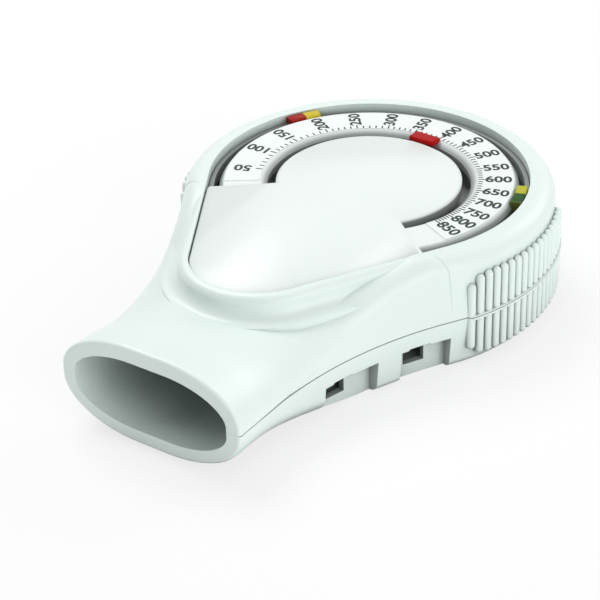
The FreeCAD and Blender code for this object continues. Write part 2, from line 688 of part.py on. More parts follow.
def chamber_walls():
    """Walls inside the lower shell: vane chamber, barrier, guides and the two stops of the vane."""
    low, high = S.root, S.lid_height
    thick, behind = S.drum_wall.value, S.mouth_corner_width.value / 5
    walls = [
        ring(S.drum_radius, S.drum_outside, low, high, S.outlet_end, S.inlet_start + 360),
        ring(S.drum_radius, S.drum_outside, low, high, S.inlet_end, S.outlet_start),
        radial_block(S.barrier_angle, S.hub_radius + 2 * S.axial_gap, S.drum_radius + SUNK,
                     -S.barrier_thickness / 2, S.barrier_thickness / 2, low, high),
    ]
    for front, rear in guide_lines():
        side = 1 if front[0] > 0 else -1
        across = neck_half_width(front[1] - behind, S.wall.value) + 2 * SUNK
        outer = (side * across, front[1] - behind)
        walls.append(wall_between(front, rear, thick, low.value, high.value))
        walls.append(wall_between(outer, front, thick, low.value, high.value))
        walls.append(upright(front[0], front[1], thick / 2, low, high))
    stop_near = S.vane_thickness / 2 + S.pad_gap + S.pad_thickness
    stop_far = stop_near + S.drum_wall
    reach = (S.stop_inside, S.drum_radius + SUNK)
    walls.append(radial_block(S.vane_start, *reach, stop_near, stop_far, low, high))
    walls.append(radial_block(S.vane_end, *reach, -stop_far, -stop_near, low, high))
    return walls


def relief_slots():
    """Slots high in the chamber wall that let the breath out behind the vane."""
    half = S.relief_width / 2
    return [radial_block(angle, S.drum_radius - PAST, S.drum_outside + PAST, -half, half,
                         S.relief_low, S.lid_height + PAST)
            for angle in range(20, 201, 30)]


def lower_casing_shape():
    """Lower shell with its chamber walls, bosses, grip ribs and vents."""
    wall = S.wall.value
    outside = shell_form(0, False)
    shell = outside.cut(shell_form(wall, False))
    tall = chamber_walls()
    tall += [upright(x, y, S.boss_radius, S.root, S.lid_height) for x, y in lid_screw_places()]
    space = outside.fuse(shell_form(wall + S.wall_rise_gap.value, True))
    tall = tall[0].fuse(tall[1:]).common(space)
    ends = ((S.rear_vent_front, S.rear_vent_back), (S.front_vent_front, S.front_vent_back))
    vents = [vent(front.value, back.value, side) for side in (1, -1) for front, back in ends]
    short = [around for _, around, _ in vents]
    short += [upright(x, y, S.boss_radius, S.root, S.parting_height) for x, y in screw_places()]
    short = short[0].fuse(short[1:]).common(outside)
    pivot = upright(0, 0, S.pivot_boss_radius, S.root, S.floor + S.bush_height)
    casing = shell.fuse([tall, short, pivot] + grip_ribs(False) + grip_beads(False))
    holes = [pocket for pocket, _, _ in vents] + [hole for _, _, hole in vents] + relief_slots()
    holes.append(upright(0, 0, S.bush_radius, S.floor, S.floor + S.bush_height + PAST))
    for x, y in screw_places():
        holes.append(upright(x, y, S.screw_bore, -PAST, S.parting_height + PAST))
        holes.append(upright(x, y, S.screw_head_radius + S.screw_gap, -PAST, S.head_top))
    bottom = S.lid_top - S.lid_screw_length - S.screw_gap
    holes += [upright(x, y, S.screw_bore, bottom, S.lid_height + PAST) for x, y in lid_screw_places()]
    return casing.cut(holes)


def upper_casing_shape():
    """Upper shell with the recess for the face plate, the well under the dial and its screw bosses."""
    wall, room, rim = S.wall.value, 3 * S.casing_radius.value, S.casing_height.value
    outside = shell_form(0, True).fuse(plateau())
    below_deck = Part.makeBox(2 * room, 2 * room, S.deck_underside.value, Vector(-room, -room, 0))
    casing = outside.cut(shell_form(wall, True).common(below_deck))
    front = -S.lid_front.value
    bulkhead_low = (S.lid_top + SUNK / 3).value
    inner = [Part.makeBox(room, wall, rim, Vector(-room / 2, front - wall, bulkhead_low))]
    inner += [upright(x, y, S.boss_radius - SUNK / 2, S.parting_height, S.deck_underside + SUNK)
              for x, y in screw_places()]
    inner = inner[0].fuse(inner[1:]).common(outside)
    casing = casing.fuse([inner] + grip_ribs(True) + grip_beads(True))
    line = around_parting().cut(shell_form(2 * S.parting_groove.value, True))
    holes = [
        line,
        teardrop(S.recess_radius.value, S.recess_tip_radius.value, S.plate_seat.value, rim + PAST),
        upright(0, 0, S.ledge_radius, S.deck_underside - PAST, S.plate_seat + PAST),
    ]
    top = S.head_top + S.casing_screw_length + S.screw_gap
    holes += [upright(x, y, S.screw_bore, 0, top) for x, y in screw_places()]
    return casing.cut(holes)


def face_plate_shape():
    """Face plate with the dial trough, its slots and rail, hollow underneath, and the pointer's pin."""
    seat, top, skin = S.plate_seat.value, S.plate_top.value, S.wall.value
    radius, tip = S.plate_radius.value, S.plate_tip_radius.value
    plate = teardrop(radius, tip, seat, top)
    edge = [edge for edge in plate.Edges if abs(edge.CenterOfMass.z - top) < 1e-6]
    plate = plate.makeChamfer(S.plate_bevel.value, edge)
    trough = ring(S.island_radius, radius + PAST, S.trough_top, top + PAST, S.trough_end, S.trough_start)
    rail = ring(S.inner_slot_outside, S.inner_slot_outside + S.rail_width, seat, S.rail_top,
                S.slot_end, S.slot_start)
    slots = [ring(inside, outside, seat - PAST, top + PAST, S.slot_end, S.slot_start)
             for inside, outside in ((S.inner_slot_inside, S.inner_slot_outside),
                                     (S.outer_slot_inside, S.outer_slot_outside))]
    hollow_top = S.plate_top - S.plate_skin
    island = upright(0, 0, S.island_radius - S.wall, seat - PAST, hollow_top)
    front = teardrop(radius - skin, tip - skin, seat - PAST, hollow_top.value)
    front = front.cut(upright(0, 0, S.ledge_radius + S.wall, 0, top + PAST))
    pin = [
        upright(0, 0, 2 * S.pointer_pin_radius, S.washer_high, hollow_top + SUNK),
        upright(0, 0, S.pointer_pin_radius, S.pin_end, hollow_top + SUNK),
    ]
    groove = ring(0.8 * S.pointer_pin_radius, S.pointer_pin_radius + PAST, S.clip_low, S.clip_high)
    plate = plate.cut([trough, island, front]).fuse([rail] + pin)
    return plate.cut(slots + [groove])


def chamber_lid_shape():
    """Lid of the vane chamber, with the tongue that roofs the inlet and the ears for its screws."""
    low, high = S.lid_height.value, S.lid_top.value
    half = S.drum_wall.value / 2
    (right_front, right_rear), (left_front, left_rear) = guide_lines()
    front = -S.lid_front.value

    def along(start, end, y):
        share = (y - start[1]) / (end[1] - start[1])
        return start[0] + share * (end[0] - start[0])

    corners = [
        (along(left_front, left_rear, front) - half, front),
        (along(right_front, right_rear, front) + half, front),
        (right_rear[0] + half, right_rear[1]),
        (0, 0),
        (left_rear[0] - half, left_rear[1]),
    ]
    points = [Vector(x, y, low) for x, y in corners]
    tongue = Part.Face(Part.makePolygon(points + points[:1])).extrude(Vector(0, 0, high - low))
    ears = [upright(x, y, S.boss_radius, low, high) for x, y in lid_screw_places()]
    lid = upright(0, 0, S.drum_outside, low, high).fuse([tongue] + ears)
    holes = [upright(x, y, S.screw_bore, low - PAST, high + PAST) for x, y in lid_screw_places()]
    holes.append(upright(0, 0, S.bush_radius, low - PAST, high + PAST))
    return lid.cut(holes)


def spring_shape():
    """Flat spiral spring: a strip wound in even turns from the collet to the post."""
    inside, outside = S.spring_inside.value, S.spring_outside.value
    turns, strip = S.spring_turns.value, S.spring_strip.value
    low, high = S.spring_low.value, S.spring_high.value
    steps = int(12 * turns)

    def side(offset):
        points = []
        for step in range(steps + 1):
            share = step / steps
            radius = inside + (outside - inside) * share + offset
            angle = 2 * math.pi * turns * share
            points.append(Vector(radius * math.cos(angle), radius * math.sin(angle), low))
        curve = Part.BSplineCurve()
        curve.interpolate(points)
        return curve.toShape(), points

    inner, inner_points = side(0)
    outer, outer_points = side(strip)
    outline = Part.Wire([
        inner,
        Part.makeLine(inner_points[-1], outer_points[-1]),
        outer,
        Part.makeLine(outer_points[0], inner_points[0]),
    ])
    return Part.Face(outline).extrude(Vector(0, 0, high - low))


def pointer_shape():
    """Red pointer: hub, arm, stem through the inner slot, and the tab above it."""
    low, high = S.pointer_low.value, S.pointer_high.value
    stem_inside = (S.inner_slot_inside + S.slot_gap).value
    stem_outside = (S.inner_slot_outside - S.slot_gap).value
    half_stem, half_tab = S.pointer_stem_width.value / 2, S.tab_width.value / 2
    hub = S.pointer_hub_radius.value
    corners = [(0, -0.5 * hub), (hub, -0.5 * hub), (stem_inside, -half_stem), (stem_outside, -half_stem),
               (stem_outside, half_stem), (stem_inside, half_stem), (hub, 0.5 * hub), (0, 0.5 * hub)]
    points = [Vector(x, y, low) for x, y in corners]
    arm = Part.Face(Part.makePolygon(points + points[:1])).extrude(Vector(0, 0, high - low))
    tab_low = (S.rail_top + S.axial_gap).value
    tab_inside = (S.island_radius + S.slot_gap).value
    tab = Part.makeBox(S.tab_outside.value - tab_inside, 2 * half_tab, S.tab_top.value - tab_low,
                       Vector(tab_inside, -half_tab, tab_low))
    top = [edge for edge in tab.Edges if edge.BoundBox.ZMin > S.tab_top.value - 1e-6]
    tab = tab.makeFillet(0.3 * (S.tab_top.value - tab_low), top)
    stem = Part.makeBox(stem_outside - stem_inside, 2 * half_stem, tab_low + SUNK - low,
                        Vector(stem_inside, -half_stem, low))
    pointer = upright(0, 0, hub, low, high).fuse([arm, stem, tab])
    pointer = pointer.cut(upright(0, 0, S.pointer_pin_radius + S.running_gap, low - PAST, high + PAST))
    pointer.rotate(Vector(0, 0, 0), Vector(0, 0, 1), S.pointer_angle.value)
    return pointer


def screw(x, y, seat, length, upwards):
    """Cross-recessed screw with its head's underside at a level, pointing up or down."""
    radius, head = S.screw_radius.value, S.screw_head_radius.value
    tall = S.screw_head_height.value
    shank = Part.makeCylinder(radius, length - radius, Vector(0, 0, 0))
    tip = Part.makeCone(radius, 0.3 * radius, radius, Vector(0, 0, length - radius))
    cap = Part.makeCylinder(head, tall, Vector(0, 0, -tall))
    rim = [edge for edge in cap.Edges if edge.Closed and edge.CenterOfMass.z < -0.9 * tall]
    cap = cap.makeChamfer(0.25 * tall, rim)
    slot, depth = 0.25 * head, 0.6 * tall
    cross = [Part.makeBox(1.2 * head, slot, depth + PAST, Vector(-0.6 * head, -slot / 2, -tall - PAST)),
             Part.makeBox(slot, 1.2 * head, depth + PAST, Vector(-slot / 2, -0.6 * head, -tall - PAST))]
    whole = shank.fuse([tip, cap]).cut(cross)
    if not upwards:
        whole.rotate(Vector(0, 0, 0), Vector(1, 0, 0), 180)
    whole.translate(Vector(x, y, seat))
    return whole


def hub_shape_parts():
    """Vane hub: a turned boss, slotted for the blade and bored for the spindle."""
    boss = cylinder("hub_boss", S.hub_radius, S.hub_low, S.vane_high)
    bore = cylinder("hub_bore", S.spindle_radius, S.hub_low - PAST, S.vane_high + PAST)
    half = S.vane_thickness / 2
    slot = block("hub_slot", (S.blade_root, S.hub_radius + PAST), (-half, half),
                 (S.hub_low - PAST, S.vane_high + PAST), S.vane_start)
    return less("vane_hub", boss, fused("hub_openings", [bore, slot]))


# The two shells and the face plate.
lower_casing = shaped("lower_casing", lower_casing_shape())
upper_casing = shaped("upper_casing", upper_casing_shape())
face_plate = shaped("face_plate", face_plate_shape())
scale_strip = shaped("scale_strip", ring(S.strip_inside, S.strip_outside, S.trough_top,
                                         S.trough_top + S.strip_thickness, S.strip_end, S.strip_start))
chamber_lid = shaped("chamber_lid", chamber_lid_shape())

# Zone markers: a cap over the slot, a stem through it and a hook under the dial.
cap_low = S.trough_top + S.strip_thickness + 0.15
stem_inside = S.outer_slot_inside + 0.15
stem_outside = S.outer_slot_outside - 0.15
foot_high = S.plate_seat - S.axial_gap
foot_low = foot_high - S.marker_foot
marker_profile = [
    (S.marker_inside, cap_low), (S.marker_inside, S.marker_top - S.marker_bevel),
    (S.marker_inside + S.marker_bevel, S.marker_top), (S.marker_outside - S.marker_bevel, S.marker_top),
    (S.marker_outside, S.marker_top - S.marker_bevel), (S.marker_outside, cap_low),
    (stem_outside, cap_low), (stem_outside, foot_low), (S.marker_hook_inside, foot_low),
    (S.marker_hook_inside, foot_high), (stem_inside, foot_high), (stem_inside, cap_low),
]
low_zone_marker = turned("low_zone_marker", marker_profile, S.marker_span, S.low_marker_angle)
high_zone_marker = turned("high_zone_marker", marker_profile, S.marker_span, S.high_marker_angle)

# Spindle, bushes and the rings that are turned about the dial axis.
point = 0.3 * S.spindle_radius
spindle = turned("spindle", [
    (0, S.floor + 0.1), (S.spindle_radius - point, S.floor + 0.1), (S.spindle_radius, S.floor + 0.1 + point),
    (S.spindle_radius, S.spindle_top - point), (S.spindle_radius - point, S.spindle_top), (0, S.spindle_top)])
lower_bush = turned("lower_bush", [
    (S.bore_radius, S.floor), (S.bush_radius, S.floor), (S.bush_radius, S.floor + S.bush_height),
    (S.bore_radius, S.floor + S.bush_height)])
flange_top = S.lid_top + S.axial_gap
upper_bush = turned("upper_bush", [
    (S.bore_radius, S.lid_height - 0.2), (S.bush_radius, S.lid_height - 0.2), (S.bush_radius, S.lid_top),
    (1.5 * S.bush_radius, S.lid_top), (1.5 * S.bush_radius, flange_top), (S.bore_radius, flange_top)])
spring_collet = turned("spring_collet", [
    (S.spindle_radius, S.spring_low - 0.2), (S.spring_inside - 0.05, S.spring_low - 0.2),
    (S.spring_inside - 0.05, S.spring_high + 0.1), (S.spindle_radius, S.spring_high + 0.1)])
friction_washer = turned("friction_washer", [
    (S.pointer_pin_radius + 0.05, S.washer_low), (1.9 * S.pointer_pin_radius, S.washer_low),
    (1.9 * S.pointer_pin_radius, S.washer_high), (S.pointer_pin_radius + 0.05, S.washer_high)])
pointer_clip = turned("pointer_clip", [
    (0.82 * S.pointer_pin_radius, S.clip_low + 0.02), (1.6 * S.pointer_pin_radius, S.clip_low + 0.02),
    (1.6 * S.pointer_pin_radius, S.clip_high - 0.02), (0.82 * S.pointer_pin_radius, S.clip_high - 0.02)])

# Vane: a blade whose inner end stands in the hub and clears the pivot boss.
vane = doc.addObject("PartDesign::Body", "vane")
notch = S.pivot_boss_radius + 2 * S.axial_gap
blade_profile = profile_sketch(vane, "vane_profile", "XZ_Plane", [
    (S.blade_root, S.hub_low), (notch, S.hub_low), (notch, S.vane_low),
    (S.drum_radius - S.vane_gap, S.vane_low), (S.drum_radius - S.vane_gap, S.vane_high),
    (S.blade_root, S.vane_high)])
doc.recompute()
blade = vane.newObject("PartDesign::Pad", "vane_blade")
blade.Profile = blade_profile
blade.SideType = "Symmetric"
bind(blade, Length=S.vane_thickness)
vane.Tip = blade
place(vane, turn=S.vane_start)
vane_hub = hub_shape_parts()

# Return spring with its post, and the pusher arm on top of the spindle.
return_spring = shaped("return_spring", spring_shape())
post_reach = S.spring_outside + S.spring_strip + S.post_radius
spring_post = cylinder("spring_post", S.post_radius, S.lid_top, S.spring_high + 0.1, post_reach)
arm_hub = cylinder("arm_hub", S.arm_width, S.arm_low, S.arm_high)
arm_sides = (-S.arm_width / 2, S.arm_width / 2)
arm_bar = block("arm_bar", (0, S.arm_reach), arm_sides, (S.arm_low, S.arm_high), S.vane_start)
arm_finger = block("arm_finger", (S.arm_reach - S.arm_width / 2, S.arm_reach), arm_sides,
                   (S.arm_low, S.pointer_low - S.axial_gap), S.vane_start)
arm_bore = cylinder("arm_bore", S.spindle_radius, S.arm_low - PAST, S.arm_high + PAST)
pusher_arm = less("pusher_arm", fused("arm_body", [arm_hub, arm_bar, arm_finger]), arm_bore)
pointer = shaped("pointer", pointer_shape())

# Soft pads on the stops of the vane, and the screws.
pad_near = S.vane_thickness / 2 + S.pad_gap
pad_far = pad_near + S.pad_thickness
pad_inside = S.stop_inside + SUNK
pad_reach = (pad_inside, pad_inside + S.pad_length)
pad_level = (S.floor + 2 * S.pad_thickness, S.lid_height - 2 * S.pad_thickness)
vane_stop_pads = fused("vane_stop_pads", [
    block("start_pad", pad_reach, (pad_near, pad_far), pad_level, S.vane_start),
    block("end_pad", pad_reach, (-pad_far, -pad_near), pad_level, S.vane_end)])
casing_screws = shaped("casing_screws", Part.makeCompound(
    [screw(x, y, S.head_top.value, S.casing_screw_length.value, True) for x, y in screw_places()]))
lid_screws = shaped("lid_screws", Part.makeCompound(
    [screw(x, y, S.lid_top.value, S.lid_screw_length.value, False) for x, y in lid_screw_places()]))

NODES = [
    lower_casing, upper_casing, face_plate, scale_strip, chamber_lid, low_zone_marker, high_zone_marker,
    spindle, lower_bush, upper_bush, spring_collet, friction_washer, pointer_clip, vane, vane_hub,
    return_spring, spring_post, pusher_arm, pointer, vane_stop_pads, casing_screws, lid_screws,
]


def check_and_write():
    """Stop on any failed object or bad shape, then write one file for each piece."""
    doc.recompute()
    failed = [item.Name for item in doc.Objects if {"Invalid", "Error"} & set(item.State)]
    bad = [node.Label for node in NODES if node.Shape.isNull() or not node.Shape.isValid()]
    if failed or bad:
        raise RuntimeError(f"failed objects {failed}, bad shapes {bad}")
    os.makedirs("parts", exist_ok=True)
    for node in NODES:
        node.Shape.exportStep(f"parts/{node.Label}.step")
        print(node.Label, len(node.Shape.Solids), round(node.Shape.Volume, 2))


check_and_write()
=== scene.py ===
import logging
import math
from collections.abc import Callable
from dataclasses import dataclass
from enum import Enum

import bmesh
import bpy
from mathutils import Matrix, Vector


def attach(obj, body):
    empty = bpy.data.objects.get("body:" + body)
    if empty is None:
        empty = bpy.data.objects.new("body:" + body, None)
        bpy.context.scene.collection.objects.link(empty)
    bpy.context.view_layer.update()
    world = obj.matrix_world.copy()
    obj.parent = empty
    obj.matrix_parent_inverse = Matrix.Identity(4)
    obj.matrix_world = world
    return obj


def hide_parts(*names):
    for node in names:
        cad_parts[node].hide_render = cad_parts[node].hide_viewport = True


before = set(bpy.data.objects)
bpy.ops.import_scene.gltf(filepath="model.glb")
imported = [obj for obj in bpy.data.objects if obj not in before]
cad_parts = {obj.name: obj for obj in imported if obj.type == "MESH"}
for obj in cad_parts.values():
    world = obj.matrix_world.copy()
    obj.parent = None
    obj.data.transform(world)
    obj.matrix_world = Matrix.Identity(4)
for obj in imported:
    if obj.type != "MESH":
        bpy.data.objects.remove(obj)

LOG = logging.getLogger("peak_flow_meter")
MM = 0.001
Rgb = tuple[float, float, float]
Point = tuple[float, float]
WHITE = (1.0, 1.0, 1.0, 1.0)

CORNER = "cad_corner"  # mesh layer that holds each corner's number in the CAD piece
WELD = 0.0005  # millimetres within which the CAD's loose corners are one point
CLOSE = 0.1  # millimetres within which a point lies on a level
ON_AXIS = 0.01  # millimetres from the dial's axis within which a point has no angle
FIRST_ANGLE = -90.0  # degrees, where the angles round the dial start
FACET = 1.5  # degrees, angle of one facet of a swept solid
CREASE = 25.0  # degrees past which an edge stays sharp
RAYS = 6  # samples of each bevel and each look into a hollow


class Wire:
    """A socket of a node tree, with arithmetic that adds Math nodes."""

    def __init__(self, graph: "Graph", socket: bpy.types.NodeSocket) -> None:
        """Wrap an output socket of a graph."""
        self.graph = graph
        self.socket = socket

    def joined(self, operation: str, *others: "Wire | float", first: "Wire | float | None" = None) -> "Wire":
        """Add a Math node.

        Args:
            operation: The Math node's operation.
            others: The values after this one.
            first: A value to put before this one.

        Returns:
            The result.
        """
        values = ([] if first is None else [first]) + [self, *others]
        made = self.graph.node("ShaderNodeMath", {"operation": operation}, dict(enumerate(values)))
        return Wire(self.graph, made.outputs[0])

    def __add__(self, other: "Wire | float") -> "Wire":
        """This value plus another."""
        return self.joined("ADD", other)

    def __radd__(self, other: float) -> "Wire":
        """A number plus this value."""
        return self.joined("ADD", other)

    def __sub__(self, other: "Wire | float") -> "Wire":
        """This value less another."""
        return self.joined("SUBTRACT", other)

    def __rsub__(self, other: float) -> "Wire":
        """A number less this value."""
        return self.joined("SUBTRACT", first=other)

    def __mul__(self, other: "Wire | float") -> "Wire":
        """This value times another."""
        return self.joined("MULTIPLY", other)

    def __gt__(self, other: "Wire | float") -> "Wire":
        """1 where this value is greater than another, and 0 elsewhere."""
        return self.joined("GREATER_THAN", other)

    def greatest(self, other: "Wire | float") -> "Wire":
        """The greater of this value and another."""
        return self.joined("MAXIMUM", other)

    def angle_from(self, across: "Wire") -> "Wire":
        """The angle in radians whose rise is this value and whose run is another."""
        return self.joined("ARCTAN2", across)


class Graph:
    """The node tree of a material or a world, written as Python expressions."""

    MIX_A, MIX_B, MIX_RESULT = 6, 7, 2

    def __init__(self, owner: bpy.types.Material | bpy.types.World) -> None:
        """Start with an empty tree.

        Args:
            owner: The new material or world.
        """
        self.owner = owner
        owner.use_nodes = True
        self.tree = owner.node_tree
        self.tree.nodes.clear()

    def node(self, kind: str, settings: dict | None = None, inputs: dict | None = None) -> bpy.types.Node:
        """Add a node.

        Args:
            kind: The node's type.
            settings: Its properties, which are set first.
            inputs: Values or wires, by socket name or number.

        Returns:
            The new node.
        """
        made = self.tree.nodes.new(kind)
        for key, value in (settings or {}).items():
            setattr(made, key, value)
        for key, value in (inputs or {}).items():
            if isinstance(value, Wire):
                self.tree.links.new(value.socket, made.inputs[key])
            else:
                made.inputs[key].default_value = value
        return made

    def wire(self, kind: str, output: str | int, settings: dict | None = None,
             inputs: dict | None = None) -> Wire:
        """Add a node and read one of its outputs."""
        return Wire(self, self.node(kind, settings, inputs).outputs[output])

    def place(self) -> Wire:
        """The point on the surface, in the object's own coordinates."""
        return self.wire("ShaderNodeTexCoord", "Object")

    def noise(self, place: Wire, size: float, detail: float = 2.0) -> Wire:
        """Noise from 0 to 1 at a place, with features of a width in millimetres and finer layers."""
        values = {"Vector": place, "Scale": 1.0 / (size * MM), "Detail": detail}
        return self.wire("ShaderNodeTexNoise", "Fac", {"noise_dimensions": "3D"}, values)

    def stretched(self, place: Wire, scale: tuple[float, float, float]) -> Wire:
        """The place with its three axes stretched apart, for rolled and turned metal."""
        return self.wire("ShaderNodeMapping", "Vector", None, {"Vector": place, "Scale": scale})

    def parts(self, place: Wire) -> tuple[Wire, Wire, Wire]:
        """The x, y and z of a place, in metres."""
        made = self.node("ShaderNodeSeparateXYZ", None, {"Vector": place})
        return tuple(Wire(self, made.outputs[axis]) for axis in range(3))

    def openness(self, reach: float) -> Wire:
        """1 on a free face and less in a hollow, as seen over a reach in millimetres."""
        return self.wire("ShaderNodeAmbientOcclusion", "AO", {"samples": RAYS}, {"Distance": reach * MM})

    def ramped(self, value: Wire, start: float, end: float, most: float) -> Wire:
        """A value spread so that it runs from 0 at start to most at end."""
        return self.wire("ShaderNodeMapRange", "Result", None, {
            "Value": value, "From Min": start, "From Max": end, "To Min": 0.0, "To Max": most})

    def mixed(self, share: Wire | float, first: Wire | Rgb, second: Wire | Rgb) -> Wire:
        """Blend two colours.

        Args:
            share: How much of the second.
            first: A colour.
            second: A colour.

        Returns:
            The blend.
        """
        colours = [c if isinstance(c, Wire) else (*c, 1.0) for c in (first, second)]
        inputs = {0: share, self.MIX_A: colours[0], self.MIX_B: colours[1]}
        return self.wire("ShaderNodeMix", self.MIX_RESULT, {"data_type": "RGBA"}, inputs)

    def relief(self, height: Wire, depth: float, edge: float = 0.0) -> Wire:
        """A normal with fine relief, over edges softened by a bevel.

        Args:
            height: The relief, from 0 to 1.
            depth: Its depth in millimetres.
            edge: Radius of the bevel in millimetres.

        Returns:
            The normal.
        """
        inputs = {"Height": height, "Distance": depth * MM, "Strength": 1.0}
        if edge:
            radius = {"Radius": edge * MM}
            inputs["Normal"] = self.wire("ShaderNodeBevel", "Normal", {"samples": RAYS}, radius)
        return self.wire("ShaderNodeBump", "Normal", None, inputs)

    def finish(self, **inputs: "Wire | float | tuple") -> bpy.types.Material:
        """Close a material's tree with a Principled shader.

        Args:
            inputs: Its sockets, with spaces written as underscores.

        Returns:
            The material.
        """
        named = {key.replace("_", " "): value for key, value in inputs.items()}
        shader = self.wire("ShaderNodeBsdfPrincipled", "BSDF", None, named)
        self.node("ShaderNodeOutputMaterial", None, {"Surface": shader})
        return self.owner


def dimmed(tone: Rgb, share: float) -> Rgb:
    """A share of a colour's brightness."""
    return tuple(share * part for part in tone)


def brightened(tone: Rgb, gain: float, lift: float) -> Rgb:
    """A colour multiplied by a gain and then lifted, up to white."""
    return tuple(min(1.0, gain * part + lift) for part in tone)


@dataclass(frozen=True)
class MouldedPlastic:
    """Injection moulded plastic with a spark-eroded grain and soft edges, with shade painted into each
    hollow.

    Attributes:
        name: The material's name.
        base: Its colour.
        shade: The colour of its darker patches.
        roughness: Its roughness.
        grain: Width of the grain in millimetres.
        depth: Depth of the grain in millimetres.
        edge: Radius of its softened edges in millimetres.
        hollow_shade: How much painted shade a small hollow takes.
        shine: Its specular level.
        glow: Its subsurface weight.
        cavity_shade: How much painted shade the insides of large openings take.
        valley_shade: Levels where painted shade starts and is darkest, and how much of that shade it takes.
    """

    name: str
    base: Rgb
    shade: Rgb
    roughness: float = 0.38
    grain: float = 0.22
    depth: float = 0.006
    edge: float = 0.12
    hollow_shade: float = 0.35
    shine: float = 0.5
    glow: float = 0.08
    cavity_shade: float = 0.0
    valley_shade: tuple[float, float, float] = (0.0, 0.0, 0.0)

    CLOUD_SIZE, CLOUD_SHARE, CLOUD_ROUGHNESS = 14.0, 0.5, 0.08
    GRAIN_DETAIL, GRAIN_SHARE, GRAIN_ROUGHNESS = 3.0, 0.18, 0.12
    HOLLOW_TONE, HOLLOW_REACH = 0.62, 1.6
    CAVITY_TONE, CAVITY_REACH, CAVITY_STARTS, CAVITY_ENDS = 0.25, 22.0, 0.5, 0.2
    VALLEY_SHADE_TONE = 0.3
    GLOW_COLOURS, GLOW_REACH = (1.0, 1.1, 1.0), 0.9
    IOR = 1.49

    def material(self) -> bpy.types.Material:
        """Build the material.

        Returns:
            The material.
        """
        g = Graph(bpy.data.materials.new(self.name))
        place = g.place()
        cloud = g.noise(place, self.CLOUD_SIZE)
        grain = g.noise(place, self.grain, self.GRAIN_DETAIL)
        colour = g.mixed(cloud * self.CLOUD_SHARE + grain * self.GRAIN_SHARE, self.base, self.shade)
        # Painted shade: small hollows and creases are darkened by how closed in they are.
        if self.hollow_shade:
            hollow_shade_share = 1.0 - g.openness(self.HOLLOW_REACH)
            colour = g.mixed(hollow_shade_share * self.hollow_shade, colour, dimmed(self.shade, self.HOLLOW_TONE))
        # Painted shade: the insides of large openings, such as the mouthpiece, are darkened.
        if self.cavity_shade:
            cavity_shade_share = g.ramped(g.openness(self.CAVITY_REACH), self.CAVITY_STARTS, self.CAVITY_ENDS, self.cavity_shade)
            colour = g.mixed(cavity_shade_share, colour, dimmed(self.shade, self.CAVITY_TONE))
        # Painted shade: the surface is darkened the lower it lies, down into the dial's slots.
        starts, ends, most = self.valley_shade
        if most:
            low = g.ramped(g.parts(place)[2], starts * MM, ends * MM, most)
            colour = g.mixed(low, colour, dimmed(self.shade, self.VALLEY_SHADE_TONE))
        middle = self.roughness - self.GRAIN_ROUGHNESS / 2
        rough = middle + grain * self.GRAIN_ROUGHNESS + (cloud - 0.5) * self.CLOUD_ROUGHNESS
        return g.finish(
            Base_Color=colour, Roughness=rough, Normal=g.relief(grain, self.depth, self.edge),
            Specular_IOR_Level=self.shine, Subsurface_Weight=self.glow,
            Subsurface_Radius=self.GLOW_COLOURS, Subsurface_Scale=self.GLOW_REACH * MM, IOR=self.IOR)


@dataclass(frozen=True)
class TwoToneCap:
    """Plastic cap in two colours that meet at an angle round the dial, with painted shade on its end.

    Attributes:
        name: The material's name.
        low_side: Its colour at the angles below the split.
        high_side: Its colour at the angles above the split.
        split: Angle where the two meet, in degrees.
        painted_end_shade: A colour painted on its end as its shade.
        end_angle: Angle below which that end lies, in degrees.
    """

    name: str
    low_side: Rgb
    high_side: Rgb
    split: float
    painted_end_shade: Rgb
    end_angle: float

    WOBBLE_SIZE, WOBBLE = 1.2, 0.5
    FINE_SIZE, FINE_DETAIL, FINE_SHARE, FINE_DEPTH = 0.25, 3.0, 0.12, 0.004
    GRIME = (0.05, 0.05, 0.04)
    ROUGHNESS, ROUGHNESS_SPREAD, EDGE, SHINE, IOR = 0.34, 0.14, 0.12, 0.2, 1.45

    def material(self) -> bpy.types.Material:
        """Build the material.

        Returns:
            The material.
        """
        g = Graph(bpy.data.materials.new(self.name))
        place = g.place()
        across, along, _ = g.parts(place)
        turn = along.angle_from(across) * (180.0 / math.pi)
        wobble = (g.noise(place, self.WOBBLE_SIZE) - 0.5) * self.WOBBLE
        colour = g.mixed((turn + wobble) > self.split, self.low_side, self.high_side)
        # Painted shade: the end below the end angle takes a colour that stands in for its shadow.
        colour = g.mixed((self.end_angle - turn) > 0.0, colour, self.painted_end_shade)
        fine = g.noise(place, self.FINE_SIZE, self.FINE_DETAIL)
        colour = g.mixed(fine * self.FINE_SHARE, colour, self.GRIME)
        return g.finish(Base_Color=colour, Roughness=self.ROUGHNESS + fine * self.ROUGHNESS_SPREAD,
                        Normal=g.relief(fine, self.FINE_DEPTH, self.EDGE), IOR=self.IOR,
                        Specular_IOR_Level=self.SHINE)


@dataclass(frozen=True)
class Ink:
    """Screen-printed ink: dense, a touch uneven, and slightly matt."""

    name: str
    tone: Rgb

    COVER_SIZE, COVER_DETAIL, COVER_SHARE, COVER_DEPTH = 0.35, 3.0, 0.35, 0.003
    THIN_GAIN, THIN_LIFT = 2.6, 0.03
    ROUGHNESS, ROUGHNESS_SPREAD, SHINE = 0.42, 0.16, 0.25

    def material(self) -> bpy.types.Material:
        """Build the material.

        Returns:
            The material.
        """
        g = Graph(bpy.data.materials.new(self.name))
        cover = g.noise(g.place(), self.COVER_SIZE, self.COVER_DETAIL)
        thin = brightened(self.tone, self.THIN_GAIN, self.THIN_LIFT)
        colour = g.mixed(cover * self.COVER_SHARE, self.tone, thin)
        return g.finish(Base_Color=colour, Roughness=self.ROUGHNESS + cover * self.ROUGHNESS_SPREAD,
                        Normal=g.relief(cover, self.COVER_DEPTH), Specular_IOR_Level=self.SHINE)


